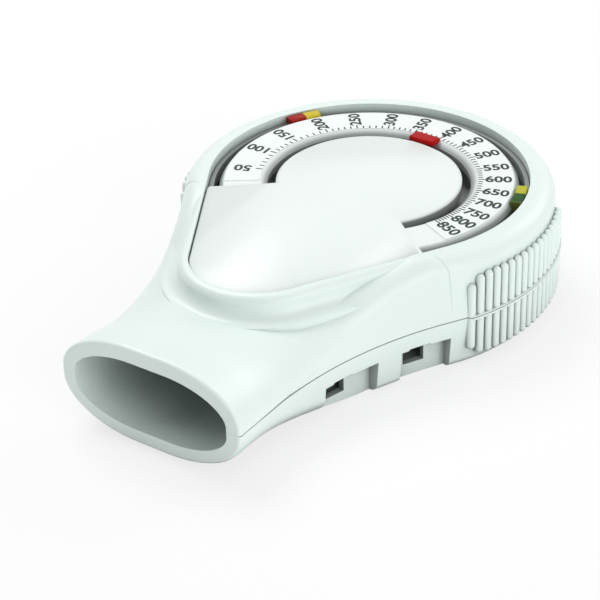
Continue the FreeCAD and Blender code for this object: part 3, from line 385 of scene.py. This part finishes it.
@dataclass(frozen=True)
class PrintedFilm:
    """Thin white film of the scale, with a faint weave of the printing screen under a clear lacquer."""

    name: str
    base: Rgb

    CLOUD_SIZE, CLOUD_SHARE, CLOUD_TONE = 6.0, 0.4, 0.93
    WEAVE_SIZE, WEAVE_SHARE, WEAVE_DEPTH, EDGE = 0.12, 0.2, 0.002, 0.05
    ROUGHNESS, ROUGHNESS_SPREAD = 0.3, 0.1
    LACQUER, LACQUER_ROUGHNESS = 0.25, 0.08

    def material(self) -> bpy.types.Material:
        """Build the material.

        Returns:
            The material.
        """
        g = Graph(bpy.data.materials.new(self.name))
        place = g.place()
        cloud = g.noise(place, self.CLOUD_SIZE)
        weave = g.noise(place, self.WEAVE_SIZE)
        share = cloud * self.CLOUD_SHARE + weave * self.WEAVE_SHARE
        colour = g.mixed(share, self.base, dimmed(self.base, self.CLOUD_TONE))
        return g.finish(Base_Color=colour, Roughness=self.ROUGHNESS + weave * self.ROUGHNESS_SPREAD,
                        Normal=g.relief(weave, self.WEAVE_DEPTH, self.EDGE),
                        Coat_Weight=self.LACQUER, Coat_Roughness=self.LACQUER_ROUGHNESS)


class Lay(Enum):
    """Which way the fine lines of a metal run."""

    TURNED = (0.15, 0.15, 3.0)
    ROLLED = (3.0, 3.0, 0.2)


@dataclass(frozen=True)
class Metal:
    """Machined or plated metal with its lay of fine lines and a little tarnish."""

    name: str
    tone: Rgb
    roughness: float
    lay: Lay

    LINE_SIZE, LINE_ROUGHNESS, LINE_DEPTH, EDGE = 0.09, 0.14, 0.002, 0.05
    TARNISH_SIZE, TARNISH_DETAIL, TARNISH_TONE = 2.2, 3.0, 0.72
    TARNISH_SHARE, TARNISH_ROUGHNESS = 0.45, 0.12

    def material(self) -> bpy.types.Material:
        """Build the material.

        Returns:
            The material.
        """
        g = Graph(bpy.data.materials.new(self.name))
        place = g.place()
        lines = g.noise(g.stretched(place, self.lay.value), self.LINE_SIZE)
        tarnish = g.noise(place, self.TARNISH_SIZE, self.TARNISH_DETAIL)
        colour = g.mixed(tarnish * self.TARNISH_SHARE, self.tone, dimmed(self.tone, self.TARNISH_TONE))
        rough = self.roughness + lines * self.LINE_ROUGHNESS + (tarnish - 0.5) * self.TARNISH_ROUGHNESS
        return g.finish(Base_Color=colour, Metallic=1.0, Roughness=rough,
                        Normal=g.relief(lines, self.LINE_DEPTH, self.EDGE))


@dataclass(frozen=True)
class ClearPlastic:
    """Clear moulded plastic of the vane, faintly smoky."""

    name: str
    tint: Rgb

    SMOKE_SIZE, SMOKE_SHARE, SMOKE_TONE, SMOKE_DEPTH = 0.3, 0.3, 0.9, 0.002
    ROUGHNESS, ROUGHNESS_SPREAD, CLEARNESS, IOR, EDGE = 0.08, 0.1, 0.85, 1.49, 0.06

    def material(self) -> bpy.types.Material:
        """Build the material.

        Returns:
            The material.
        """
        g = Graph(bpy.data.materials.new(self.name))
        smoke = g.noise(g.place(), self.SMOKE_SIZE)
        colour = g.mixed(smoke * self.SMOKE_SHARE, self.tint, dimmed(self.tint, self.SMOKE_TONE))
        return g.finish(Base_Color=colour, Roughness=self.ROUGHNESS + smoke * self.ROUGHNESS_SPREAD,
                        Transmission_Weight=self.CLEARNESS, IOR=self.IOR,
                        Normal=g.relief(smoke, self.SMOKE_DEPTH, self.EDGE))


@dataclass(frozen=True)
class SoftPad:
    """Rubber or felt: matt, fibrous or pitted, with uneven colour.

    Attributes:
        name: The material's name.
        tone: Its darkest colour.
        fibre: Width of its fibres or pits in millimetres.
        depth: Their depth in millimetres.
    """

    name: str
    tone: Rgb
    fibre: float
    depth: float

    FIBRE_DETAIL = 5.0
    LIGHT_GAIN, LIGHT_LIFT = 1.5, 0.04
    ROUGHNESS, ROUGHNESS_SPREAD = 0.78, 0.18

    def material(self) -> bpy.types.Material:
        """Build the material.

        Returns:
            The material.
        """
        g = Graph(bpy.data.materials.new(self.name))
        fibre = g.noise(g.place(), self.fibre, self.FIBRE_DETAIL)
        colour = g.mixed(fibre, self.tone, brightened(self.tone, self.LIGHT_GAIN, self.LIGHT_LIFT))
        return g.finish(Base_Color=colour, Roughness=self.ROUGHNESS + fibre * self.ROUGHNESS_SPREAD,
                        Normal=g.relief(fibre, self.depth))


def dress(node: str, finish: bpy.types.Material) -> None:
    """Give a CAD piece its finish.

    Args:
        node: The piece's name.
        finish: The material.
    """
    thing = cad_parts[node]
    if not thing.material_slots:
        thing.data.materials.append(finish)
    for holder in thing.material_slots:
        holder.material = finish
    LOG.info("dressed %s in %s", node, finish.name)


def linked(name: str, data: bpy.types.ID) -> bpy.types.Object:
    """Put a mesh, curve, lamp or camera into the scene.

    Args:
        name: The object's name.
        data: What it shows.

    Returns:
        The new object.
    """
    thing = bpy.data.objects.new(name, data)
    bpy.context.scene.collection.objects.link(thing)
    return thing


def added(mesh: bpy.types.Mesh, name: str, finish: bpy.types.Material, body: str) -> bpy.types.Object:
    """Put a finished mesh into the scene as a piece of a body.

    Args:
        mesh: The mesh, with its place in its vertices.
        name: The piece's name.
        finish: Its material.
        body: The body that it moves with.

    Returns:
        The new object.
    """
    thing = linked(name, mesh)
    mesh.materials.clear()
    mesh.materials.append(finish)
    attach(thing, body)
    LOG.info("made %s with %d faces", name, len(mesh.polygons))
    return thing


def merged_copy(node: str) -> bmesh.types.BMesh:
    """A copy of a CAD piece with its loose triangles joined, and each corner's number in the CAD piece.

    Args:
        node: The piece's name.

    Returns:
        The copy, in metres.
    """
    made = bmesh.new()
    made.from_mesh(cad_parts[node].data)
    corner = made.loops.layers.int.new(CORNER)
    for index, loop in enumerate(loop for face in made.faces for loop in face.loops):
        loop[corner] = index
    bmesh.ops.remove_doubles(made, verts=made.verts, dist=WELD * MM)
    return made


def swept(profile: list[Point], start: float, end: float) -> bmesh.types.BMesh:
    """A closed solid whose profile is swept about the dial's axis.

    Args:
        profile: (radius, level) corners in millimetres.
        start: First angle in degrees.
        end: Last angle in degrees.

    Returns:
        The solid, in metres.
    """
    made = bmesh.new()
    count = max(1, round((end - start) / FACET))
    rows = []
    for index in range(count + 1):
        turn = math.radians(start + (end - start) * index / count)
        rows.append([made.verts.new(Vector((radius * math.cos(turn), radius * math.sin(turn), level)) * MM)
                     for radius, level in profile])
    for here, there in zip(rows, rows[1:]):
        for corner in range(len(profile)):
            after = (corner + 1) % len(profile)
            made.faces.new((here[corner], here[after], there[after], there[corner]))
    made.faces.new(list(reversed(rows[0])))
    made.faces.new(rows[-1])
    bmesh.ops.recalc_face_normals(made, faces=made.faces)
    return made


def reshaped(made: bmesh.types.BMesh, rule: Callable[[float, float, float], Point]) -> None:
    """Move the points of a piece by a rule on radius, level and angle about the dial's axis.

    Args:
        made: The piece.
        rule: Takes a radius, a level and an angle, in millimetres and degrees, and gives the new radius
            and level.
    """
    for point in made.verts:
        across, along, up = (value / MM for value in point.co)
        radius, angle = math.hypot(across, along), math.degrees(math.atan2(along, across))
        if radius < ON_AXIS:
            continue
        far, level = rule(radius, up, angle if angle > FIRST_ANGLE else angle + 360.0)
        point.co = Vector((across * far / radius, along * far / radius, level)) * MM


def stood_in(shells: list[bmesh.types.BMesh], name: str, finish: bpy.types.Material, node: str, body: str,
             crease: float | None = CREASE) -> bpy.types.Object:
    """Join shells into a piece that stands for a CAD piece.

    Args:
        shells: Its shells, which are used up.
        name: The piece's name.
        finish: Its material.
        node: The CAD piece that it replaces.
        body: The body that it moves with.
        crease: Angle in degrees past which an edge stays sharp, or None to shade the piece as the CAD
            piece is shaded.

    Returns:
        The new object.
    """
    whole = bmesh.new()
    for shell in shells:
        part = bpy.data.meshes.new("shell")
        shell.to_mesh(part)
        shell.free()
        whole.from_mesh(part)
        bpy.data.meshes.remove(part)
    mesh = bpy.data.meshes.new(name)
    whole.to_mesh(mesh)
    whole.free()
    mesh.shade_smooth()
    if crease is None:
        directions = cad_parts[node].data.corner_normals
        corners = [mark.value for mark in mesh.attributes[CORNER].data]
        mesh.normals_split_custom_set([directions[corner].vector for corner in corners])
    else:
        mesh.set_sharp_from_angle(angle=math.radians(crease))
    if CORNER in mesh.attributes:
        mesh.attributes.remove(mesh.attributes[CORNER])
    thing = added(mesh, name, finish, body)
    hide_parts(node)
    return thing


class StampTree:
    """Geometry Nodes tree that sets a bar on every point, turned and stretched by the point's values."""

    def __init__(self, name: str, finish: bpy.types.Material) -> None:
        """Build the tree.

        Args:
            name: The tree's name.
            finish: The material of the bars.
        """
        self.tree = bpy.data.node_groups.new(name, "GeometryNodeTree")
        face = self.tree.interface
        face.new_socket("Geometry", in_out="INPUT", socket_type="NodeSocketGeometry")
        self.width, self.height = (
            face.new_socket(label, in_out="INPUT", socket_type="NodeSocketFloat").identifier
            for label in ("Bar width", "Bar height"))
        face.new_socket("Geometry", in_out="OUTPUT", socket_type="NodeSocketGeometry")
        given = self._node("NodeGroupInput")
        size = self._node("ShaderNodeCombineXYZ", {"X": 1.0, "Y": given.outputs[1], "Z": given.outputs[2]})
        bar = self._node("GeometryNodeMeshCube", {"Size": size.outputs[0]})
        turn = self._node("ShaderNodeCombineXYZ", {"Z": self._value("turn")})
        scale = self._node("ShaderNodeCombineXYZ", {"X": self._value("reach"), "Y": 1.0, "Z": 1.0})
        stamped = self._node("GeometryNodeInstanceOnPoints", {
            "Points": given.outputs[0], "Instance": bar.outputs["Mesh"],
            "Rotation": turn.outputs[0], "Scale": scale.outputs[0]})
        real = self._node("GeometryNodeRealizeInstances", {"Geometry": stamped.outputs[0]})
        inked = self._node("GeometryNodeSetMaterial", {"Geometry": real.outputs[0], "Material": finish})
        self._node("NodeGroupOutput", {"Geometry": inked.outputs[0]})

    def _node(self, kind: str, inputs: dict | None = None) -> bpy.types.Node:
        """Add a node.

        Args:
            kind: The node's type.
            inputs: Values or output sockets, by socket name.

        Returns:
            The new node.
        """
        made = self.tree.nodes.new(kind)
        for key, value in (inputs or {}).items():
            if isinstance(value, bpy.types.NodeSocket):
                self.tree.links.new(value, made.inputs[key])
            else:
                made.inputs[key].default_value = value
        return made

    def _value(self, name: str) -> bpy.types.NodeSocket:
        """Read a number that each point carries."""
        return self._node("GeometryNodeInputNamedAttribute", {"Name": name}).outputs["Attribute"]

    def stamped(self, points: bpy.types.Mesh, width: float, height: float) -> bpy.types.Mesh:
        """Run the tree.

        Args:
            points: Loose points with their turn and reach.
            width: Width of a bar in millimetres.
            height: Height of a bar in millimetres.

        Returns:
            The plain mesh.
        """
        holder = linked("holder", points)
        modifier = holder.modifiers.new("stamp", "NODES")
        modifier.node_group = self.tree
        modifier[self.width] = width * MM
        modifier[self.height] = height * MM
        graph = bpy.context.evaluated_depsgraph_get()
        mesh = bpy.data.meshes.new_from_object(holder.evaluated_get(graph))
        holder.modifiers.clear()
        bpy.data.objects.remove(holder)
        return mesh


@dataclass
class Casing:
    """The two shells of the meter, the lid of its chamber and the screws.

    Attributes:
        shell, lid, screw: Finishes.
        mouth: The y of the mouthpiece's end, in millimetres like the rest.
        taper: Length over which the mouthpiece's wall thickens.
        thicker: How much thicker the wall is at that end.
        parting: Level where the shells meet.
    """

    # The shell's finish paints shade inside the mouthpiece and into small hollows.
    shell: MouldedPlastic = MouldedPlastic(
        "casing_mint", (0.80, 0.895, 0.86), (0.72, 0.82, 0.785), roughness=0.36, cavity_shade=0.9)
    lid: MouldedPlastic = MouldedPlastic(
        "inner_white", (0.74, 0.78, 0.76), (0.66, 0.71, 0.69), roughness=0.45)
    screw: Metal = Metal("screw_steel", (0.66, 0.66, 0.65), 0.22, Lay.TURNED)
    mouth: float = -70.3
    taper: float = 10.0
    thicker: float = 0.95
    parting: float = 10.7

    FACES_IN, FACES_ENDWAYS, ON_PARTING = 0.0005, 0.05, 0.01

    def build(self) -> None:
        """Make the shells, and dress the lid and the screws."""
        shell = self.shell.material()
        for node in ("lower_casing", "upper_casing"):
            made = merged_copy(node)
            self._thicken(made)
            stood_in([made], node.replace("_casing", "_shell"), shell, node, "casing", None)
        dress("chamber_lid", self.lid.material())
        screw = self.screw.material()
        dress("casing_screws", screw)
        dress("lid_screws", screw)

    def _thicken(self, shell: bmesh.types.BMesh) -> None:
        """Thicken the mouthpiece's wall inwards, most at its end.

        Args:
            shell: One half of the casing, in metres.
        """
        shell.normal_update()
        moves = []
        for point in shell.verts:
            share = 1.0 - (point.co.y / MM - self.mouth) / self.taper
            across, up = point.co.x, point.co.z - self.parting * MM
            inward = Vector((point.normal.x, 0.0, point.normal.z))
            outside = inward.x * across + inward.z * up >= -self.FACES_IN * MM
            if share <= 0.0 or outside or inward.length < self.FACES_ENDWAYS:
                continue
            if abs(up) < self.ON_PARTING * MM:
                inward = Vector((-across, 0.0, 0.0))
            moves.append((point, inward.normalized() * min(1.0, share) * self.thicker * MM))
        for point, move in moves:
            point.co += move


@dataclass
class Dial:
    """The face plate: an island with a sloped edge, the raised dial ring between its two slots, and the
    slopes down to them.

    Attributes:
        trough, slots: First and last angle of the plate's sunken ring and of its slots, in degrees.
        margin: Angle by which the raised ring runs past the slots, in degrees.
        island, island_flat: Radius of the island and of its flat top, in millimetres like all that follows.
        island_lap: How far the fillers at the ends of the ring reach into the island.
        slot_inside: Radius of the inner slot's inner side.
        ring, ring_flat: Inner and outer radius of the raised ring, and of its flat top.
        edge, lip: Outer radius of the trough, and the width inside it that stays as it is.
        plate_top, ring_top: Levels of the plate and of the raised ring.
        island_foot: Level where the slope of the island ends.
        inner_valley, outer_valley: Levels of the raised ring at its two slots.
        under: Level of its underside.
        finish: Finish of the plate.
    """

    trough: Point = (-40.0, 220.0)
    slots: Point = (-37.5, 217.5)
    margin: float = 1.0
    island: float = 18.0
    island_flat: float = 17.2
    island_lap: float = 0.9
    slot_inside: float = 18.1
    ring: Point = (19.8, 29.1)
    ring_flat: Point = (21.0, 28.2)
    edge: float = 31.05
    lip: float = 2.0
    plate_top: float = 23.0
    ring_top: float = 22.7
    island_foot: float = 22.4
    inner_valley: float = 21.75
    outer_valley: float = 21.6
    under: float = 20.9
    # The plate's finish paints shade into its small hollows and onto its slopes down to the slots.
    finish: MouldedPlastic = MouldedPlastic(
        "plate_white", (0.84, 0.895, 0.87), (0.80, 0.86, 0.83), roughness=0.33, grain=0.16, depth=0.003,
        edge=0.1, hollow_shade=0.6, valley_shade=(22.68, 22.0, 0.9))

    AT_END, AT_RADIUS, AT_TOP, AT_UNDER = 0.1, 0.06, 0.05, 0.2

    def build(self) -> None:
        """Make the plate."""
        plate = merged_copy("face_plate")
        reshaped(plate, self._island_rule)
        start, end = self.slots[0] - self.margin, self.slots[1] + self.margin
        ring = [(self.ring[0], self.under), (self.ring[1], self.under), (self.ring[1], self.outer_valley),
                (self.ring_flat[1], self.ring_top), (self.ring_flat[0], self.ring_top),
                (self.ring[0], self.inner_valley)]
        inside = self.island - self.island_lap
        filler = [(inside, self.under), (self.edge, self.under), (self.edge, self.ring_top),
                  (inside, self.ring_top)]
        shells = [plate, swept(ring, start, end), swept(filler, self.trough[0], start),
                  swept(filler, end, self.trough[1])]
        stood_in(shells, "dial_plate", self.finish.material(), "face_plate", "casing")

    def _island_rule(self, radius: float, level: float, angle: float) -> Point:
        """Slope the island's edge and sink the rail under the ring.

        Args:
            radius: Distance from the dial's axis.
            level: Height above the base.
            angle: Angle round the dial in degrees.

        Returns:
            The new radius and level.
        """
        within = self.trough[0] - self.AT_END < angle < self.trough[1] + self.AT_END
        if not within or level < self.under + self.AT_UNDER:
            return radius, level
        if abs(radius - self.island) < self.AT_RADIUS and level > self.plate_top - self.AT_TOP:
            return self.island_flat, level
        beside = self.island - self.AT_RADIUS < radius < self.slot_inside + self.AT_RADIUS
        if beside and level < self.plate_top - self.AT_TOP:
            return radius, self.island_foot
        on_rail = self.ring[0] - CLOSE < radius < self.edge - self.lip
        if on_rail and level > self.outer_valley + CLOSE:
            return radius, self.outer_valley
        return radius, level


@dataclass
class Scale:
    """The printed scale: film, ticks and numbers.

    Attributes:
        label_angles: Angle of each number round the dial, in degrees.
        first_label, label_step: The first number, and what each next one adds.
        ticks_per_label: Ticks from one number to the next.
        tick_inside: Radius where the ticks start, in millimetres like all that follows.
        long_tick, short_tick: Length of the tick at a number, and of the others.
        tick_width: Their width.
        label_radius, label_height: Radius of the numbers' middle, and their height.
        label_stretch, label_weight: How much wider and bolder than the font they are.
        ink_height: How far the ink stands above the film.
        film_sides, film_faces: Inner and outer radius of the film, and its lower and upper level.
        film_ends: Its first and last angle in degrees.
        film, ink: Finishes.
    """

    label_angles: tuple[float, ...] = (
        202.7, 183.0, 165.5, 146.0, 129.1, 112.1, 96.8, 81.3, 67.6, 54.2, 41.0, 29.6, 17.6, 6.7, -3.8,
        -12.7, -21.3)
    first_label: int = 50
    label_step: int = 50
    ticks_per_label: int = 5
    tick_inside: float = 21.2
    long_tick: float = 1.3
    short_tick: float = 0.9
    tick_width: float = 0.26
    label_radius: float = 25.1
    label_height: float = 2.25
    label_stretch: float = 1.08
    label_weight: float = 0.09
    ink_height: float = 0.03
    film_sides: Point = (21.1, 28.1)
    film_ends: Point = (-27.0, 214.5)
    film_faces: Point = (22.65, 22.85)
    film: PrintedFilm = PrintedFilm("scale_white", (0.88, 0.925, 0.905))
    ink: Ink = Ink("scale_ink", (0.012, 0.028, 0.024))

    NUMERAL_SHARE = 0.7  # height of a numeral, as a share of the font's size
    CURVE_STEPS = 4

    def build(self) -> None:
        """Make the film, then print the ticks and the numbers on it."""
        inside, outside = self.film_sides
        low, top = self.film_faces
        film = swept([(inside, low), (outside, low), (outside, top), (inside, top)], *self.film_ends)
        stood_in([film], "scale_film", self.film.material(), "scale_strip", "casing")
        ink = self.ink.material()
        self._ticks(ink, top)
        self._numbers(ink, top)

    def _tick_marks(self) -> list[Point]:
        """Angle and length of every tick.

        Returns:
            The ticks, in degrees and millimetres.
        """
        marks = []
        for here, there in zip(self.label_angles, self.label_angles[1:]):
            for step in range(self.ticks_per_label):
                share = step / self.ticks_per_label
                marks.append((here + (there - here) * share, self.short_tick if step else self.long_tick))
        marks.append((self.label_angles[-1], self.long_tick))
        return marks

    def _ticks(self, ink: bpy.types.Material, top: float) -> None:
        """Make the ticks.

        Args:
            ink: Their material.
            top: Level of the film's upper face in millimetres.
        """
        spots, turns, reaches = [], [], []
        for angle, length in self._tick_marks():
            turn, middle = math.radians(angle), self.tick_inside + length / 2
            spots.append(Vector((middle * math.cos(turn), middle * math.sin(turn), top)) * MM)
            turns.append(turn)
            reaches.append(length * MM)
        points = bpy.data.meshes.new("tick_points")
        points.from_pydata(spots, [], [])
        for name, values in (("turn", turns), ("reach", reaches)):
            points.attributes.new(name, "FLOAT", "POINT").data.foreach_set("value", values)
        mesh = StampTree("tick_stamp", ink).stamped(points, self.tick_width, 2 * self.ink_height)
        added(mesh, "scale_ticks", ink, "casing")

    def _numbers(self, ink: bpy.types.Material, top: float) -> None:
        """Make the numbers, each along its own radius and read outwards.

        Args:
            ink: Their material.
            top: Level of the film's upper face in millimetres.
        """
        whole = bmesh.new()
        for count, angle in enumerate(self.label_angles):
            mesh = self._text_mesh(str(self.first_label + count * self.label_step))
            mesh.transform(Matrix.Diagonal((self.label_stretch, 1.0, 1.0, 1.0)))
            turn = Matrix.Rotation(math.radians(angle), 4, "Z")
            spot = turn @ Vector((self.label_radius * MM, 0, 0))
            spot.z = top * MM
            mesh.transform(Matrix.Translation(spot) @ turn)
            whole.from_mesh(mesh)
            bpy.data.meshes.remove(mesh)
        joined = bpy.data.meshes.new("scale_numbers")
        whole.to_mesh(joined)
        whole.free()
        added(joined, "scale_numbers", ink, "casing")

    def _text_mesh(self, text: str) -> bpy.types.Mesh:
        """One number as a thin mesh, centred on the origin.

        Args:
            text: The number.

        Returns:
            The mesh.
        """
        curve = bpy.data.curves.new("number", "FONT")
        curve.body = text
        curve.size = self.label_height / self.NUMERAL_SHARE * MM
        curve.align_x, curve.align_y = "CENTER", "CENTER"
        curve.extrude = self.ink_height * MM
        curve.resolution_u = self.CURVE_STEPS
        curve.offset = self.label_weight * MM
        holder = linked("holder", curve)
        graph = bpy.context.evaluated_depsgraph_get()
        mesh = bpy.data.meshes.new_from_object(holder.evaluated_get(graph))
        bpy.data.objects.remove(holder)
        bpy.data.curves.remove(curve)
        return mesh


@dataclass
class ZoneMarkers:
    """The two sliding markers in the outer slot, each in two colours.

    Attributes:
        low, high: Finishes.
        cap_inside: Inner radius of the CAD's caps, in millimetres like all that follows.
        cap_rim, cap_step: Width at that side that is cut back, and how far.
        cap_low, cap_edge: Level of the CAD's underside, and its level at the inner side here.
        lift: How far the top is raised.
    """

    low: TwoToneCap = TwoToneCap(
        "marker_red_yellow", low_side=(0.66, 0.52, 0.03), high_side=(0.34, 0.012, 0.005), split=149.2,
        painted_end_shade=(0.66, 0.52, 0.03), end_angle=0.0)
    # The olive end of this cap is painted shade.
    high: TwoToneCap = TwoToneCap(
        "marker_yellow_green", low_side=(0.010, 0.075, 0.003), high_side=(0.50, 0.50, 0.02), split=18.1,
        painted_end_shade=(0.14, 0.16, 0.02), end_angle=11.3)
    cap_inside: float = 28.2
    cap_rim: float = 0.4
    cap_step: float = 0.5
    cap_low: float = 21.95
    cap_edge: float = 22.5
    lift: float = 0.3

    def build(self) -> None:
        """Make both markers."""
        for cap, node, body, slot in (
                (self.low, "low_zone_marker", "low_marker", "marker_red"),
                (self.high, "high_zone_marker", "high_marker", "marker_green")):
            made = merged_copy(node)
            reshaped(made, self._cap_rule)
            stood_in([made], node.replace("_marker", "_slider"), cap.material(), node, body)

    def _cap_rule(self, radius: float, level: float, angle: float) -> Point:
        """Raise the cap to the level of the plate and cut its inner edge back to the slope.

        Args:
            radius: Distance from the dial's axis.
            level: Height above the base.
            angle: Angle round the dial in degrees, which changes nothing here.

        Returns:
            The new radius and level.
        """
        if level < self.cap_low - CLOSE:
            return radius, level
        inner = radius < self.cap_inside + self.cap_rim
        raised = level + self.lift if level > self.cap_low + CLOSE else (self.cap_edge if inner else level)
        return radius + (self.cap_step if inner else 0.0), raised


@dataclass
class Movement:
    """Everything that turns or carries what turns: vane, spindle, spring, arm and red pointer."""

    red: MouldedPlastic = MouldedPlastic(
        "pointer_red", (0.46, 0.003, 0.003), (0.34, 0.003, 0.003), roughness=0.3, grain=0.3, depth=0.003,
        hollow_shade=0.2, shine=0.1, glow=0.0)
    black: MouldedPlastic = MouldedPlastic(
        "arm_black", (0.03, 0.03, 0.03), (0.02, 0.02, 0.02), roughness=0.42)
    hub: MouldedPlastic = MouldedPlastic("hub_white", (0.76, 0.78, 0.76), (0.68, 0.70, 0.68), roughness=0.4)
    vane: ClearPlastic = ClearPlastic("vane_clear", (0.88, 0.92, 0.90))
    steel: Metal = Metal("steel", (0.60, 0.60, 0.60), 0.2, Lay.TURNED)
    strip: Metal = Metal("spring_steel", (0.42, 0.44, 0.47), 0.18, Lay.ROLLED)
    brass: Metal = Metal("brass", (0.70, 0.50, 0.20), 0.24, Lay.TURNED)
    felt: SoftPad = SoftPad("felt_grey", (0.30, 0.30, 0.29), 0.35, 0.08)
    rubber: SoftPad = SoftPad("pad_rubber", (0.03, 0.03, 0.03), 0.5, 0.02)

    def build(self) -> None:
        """Make the pointer, with its curved faces shaded smooth, and dress the other pieces."""
        pointer = merged_copy("pointer")
        stood_in([pointer], "drag_pointer", self.red.material(), "pointer", "pointer")
        for finish, nodes in (
                (self.black, ("pusher_arm",)),
                (self.hub, ("vane_hub",)),
                (self.vane, ("vane",)),
                (self.steel, ("spindle", "spring_post")),
                (self.strip, ("return_spring", "pointer_clip")),
                (self.brass, ("lower_bush", "upper_bush", "spring_collet")),
                (self.felt, ("friction_washer",)),
                (self.rubber, ("vane_stop_pads",))):
            material = finish.material()
            for node in nodes:
                dress(node, material)


@dataclass
class Studio:
    """Camera, lamps, floor and the white surround.

    Attributes:
        azimuth, elevation, roll: Angles of the camera in degrees.
        distance: From the camera to the point that it turns about, in millimetres.
        shift: Sideways and upward move of the camera in millimetres.
        pivot: Level of that point in millimetres.
        lens, sensor: Focal length and width of the sensor in millimetres.
        clip: Nearest and farthest distance that is seen, in metres.
        lamps: Name, place and side in millimetres, and power in watts, of each lamp.
        floor_half, floor_level: Half its side and its level in millimetres.
        floor_glow: How much of its own white the camera sees.
        paper, paper_share: Its two tones, and the most that the second one takes.
        paper_size, paper_detail: Width of its fibres in millimetres, and their finer layers.
        sky, sky_tint: Strength and colour of the even light.
    """

    azimuth: float = 35.35
    elevation: float = 31.69
    roll: float = -1.62
    distance: float = 388.17
    shift: Point = (-13.348, -23.968)
    pivot: float = 23.0
    lens: float = 120.0
    sensor: float = 36.0
    clip: Point = (0.01, 20.0)
    lamps: tuple[tuple[str, tuple[float, float, float], float, float], ...] = (
        ("key", (-380.0, 120.0, 620.0), 420.0, 3.1),
        ("fill", (680.0, -240.0, 260.0), 520.0, 2.6),
        ("back", (220.0, 620.0, 420.0), 360.0, 1.0),
    )
    floor_half: float = 1600.0
    floor_level: float = -0.02
    floor_glow: float = 0.74
    paper: tuple[Rgb, Rgb] = ((0.94, 0.945, 0.945), (0.91, 0.915, 0.915))
    paper_size: float = 1.5
    paper_detail: float = 3.0
    paper_share: float = 0.3
    sky: float = 0.40
    sky_tint: Rgb = (0.98, 0.99, 1.0)

    def build(self) -> None:
        """Make the camera, the lamps, the floor and the world."""
        self._camera()
        for name, place, size, power in self.lamps:
            self._lamp(name, Vector(place) * MM, size * MM, power)
        self._floor()
        self._world()
        bpy.context.scene.view_settings.view_transform = "Standard"

    def _camera(self) -> None:
        """Stand the camera where the photographer stood."""
        az, el, roll = (math.radians(angle) for angle in (self.azimuth, self.elevation, self.roll))
        back = Vector((math.sin(az) * math.cos(el), -math.cos(az) * math.cos(el), math.sin(el)))
        right = Vector((math.cos(az), math.sin(az), 0.0))
        up = right.cross(back) * -1.0
        across = right * math.cos(roll) + up * math.sin(roll)
        upward = up * math.cos(roll) - right * math.sin(roll)
        spot = (Vector((0, 0, self.pivot)) + back * self.distance
                + across * self.shift[0] + upward * self.shift[1])
        data = bpy.data.cameras.new("camera")
        data.lens, data.sensor_width = self.lens, self.sensor
        data.clip_start, data.clip_end = self.clip
        camera = linked("camera", data)
        turn = Matrix((across, upward, back)).transposed().to_4x4()
        camera.matrix_world = Matrix.Translation(spot * MM) @ turn
        bpy.context.scene.camera = camera

    def _lamp(self, name: str, place: Vector, size: float, power: float) -> None:
        """Hang a soft box that faces the meter.

        Args:
            name: The lamp's name.
            place: Where it hangs, in metres.
            size: Its side in metres.
            power: Its power in watts.
        """
        data = bpy.data.lights.new(name, "AREA")
        data.shape, data.size, data.energy = "SQUARE", size, power
        lamp = linked(name, data)
        lamp.location = place
        lamp.rotation_mode = "QUATERNION"
        lamp.rotation_quaternion = place.to_track_quat("Z", "Y")

    def _floor(self) -> None:
        """Lay a pale floor that keeps the meter's shadow."""
        mesh = bpy.data.meshes.new("floor")
        half, low = self.floor_half * MM, self.floor_level * MM
        corners = [(-half, -half, low), (half, -half, low), (half, half, low), (-half, half, low)]
        mesh.from_pydata(corners, [], [(0, 1, 2, 3)])
        g = Graph(bpy.data.materials.new("floor_paper"))
        fibre = g.noise(g.place(), self.paper_size, self.paper_detail)
        colour = g.mixed(fibre * self.paper_share, *self.paper)
        matt = g.wire("ShaderNodeBsdfDiffuse", "BSDF", None, {"Color": colour})
        white = g.wire("ShaderNodeEmission", "Emission", None, {"Color": WHITE, "Strength": 1.0})
        seen = g.wire("ShaderNodeLightPath", "Is Camera Ray") * self.floor_glow
        both = g.wire("ShaderNodeMixShader", "Shader", None, {0: seen, 1: matt, 2: white})
        g.node("ShaderNodeOutputMaterial", None, {"Surface": both})
        floor = linked("floor", mesh)
        mesh.materials.append(g.owner)

    def _world(self) -> None:
        """White behind the meter and in its reflections, and a softer even light on it."""
        world = bpy.data.worlds.new("studio")
        bpy.context.scene.world = world
        g = Graph(world)
        rays = g.node("ShaderNodeLightPath")
        camera, glossy, clear = (Wire(g, rays.outputs[f"Is {kind} Ray"])
                                 for kind in ("Camera", "Glossy", "Transmission"))
        seen = camera.greatest(glossy).greatest(clear)
        lit = g.wire("ShaderNodeBackground", "Background", None, {
            "Color": (*self.sky_tint, 1.0), "Strength": self.sky})
        shown = g.wire("ShaderNodeBackground", "Background", None, {"Color": WHITE, "Strength": 1.0})
        both = g.wire("ShaderNodeMixShader", "Shader", None, {0: seen, 1: lit, 2: shown})
        g.node("ShaderNodeOutputWorld", None, {"Surface": both})


def main() -> None:
    """Dress the meter, print its scale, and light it."""
    logging.basicConfig(level=logging.INFO, format="%(name)s: %(message)s")
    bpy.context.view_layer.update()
    for group in (Casing(), Dial(), Scale(), ZoneMarkers(), Movement(), Studio()):
        group.build()


if __name__ == "__main__":
    main()
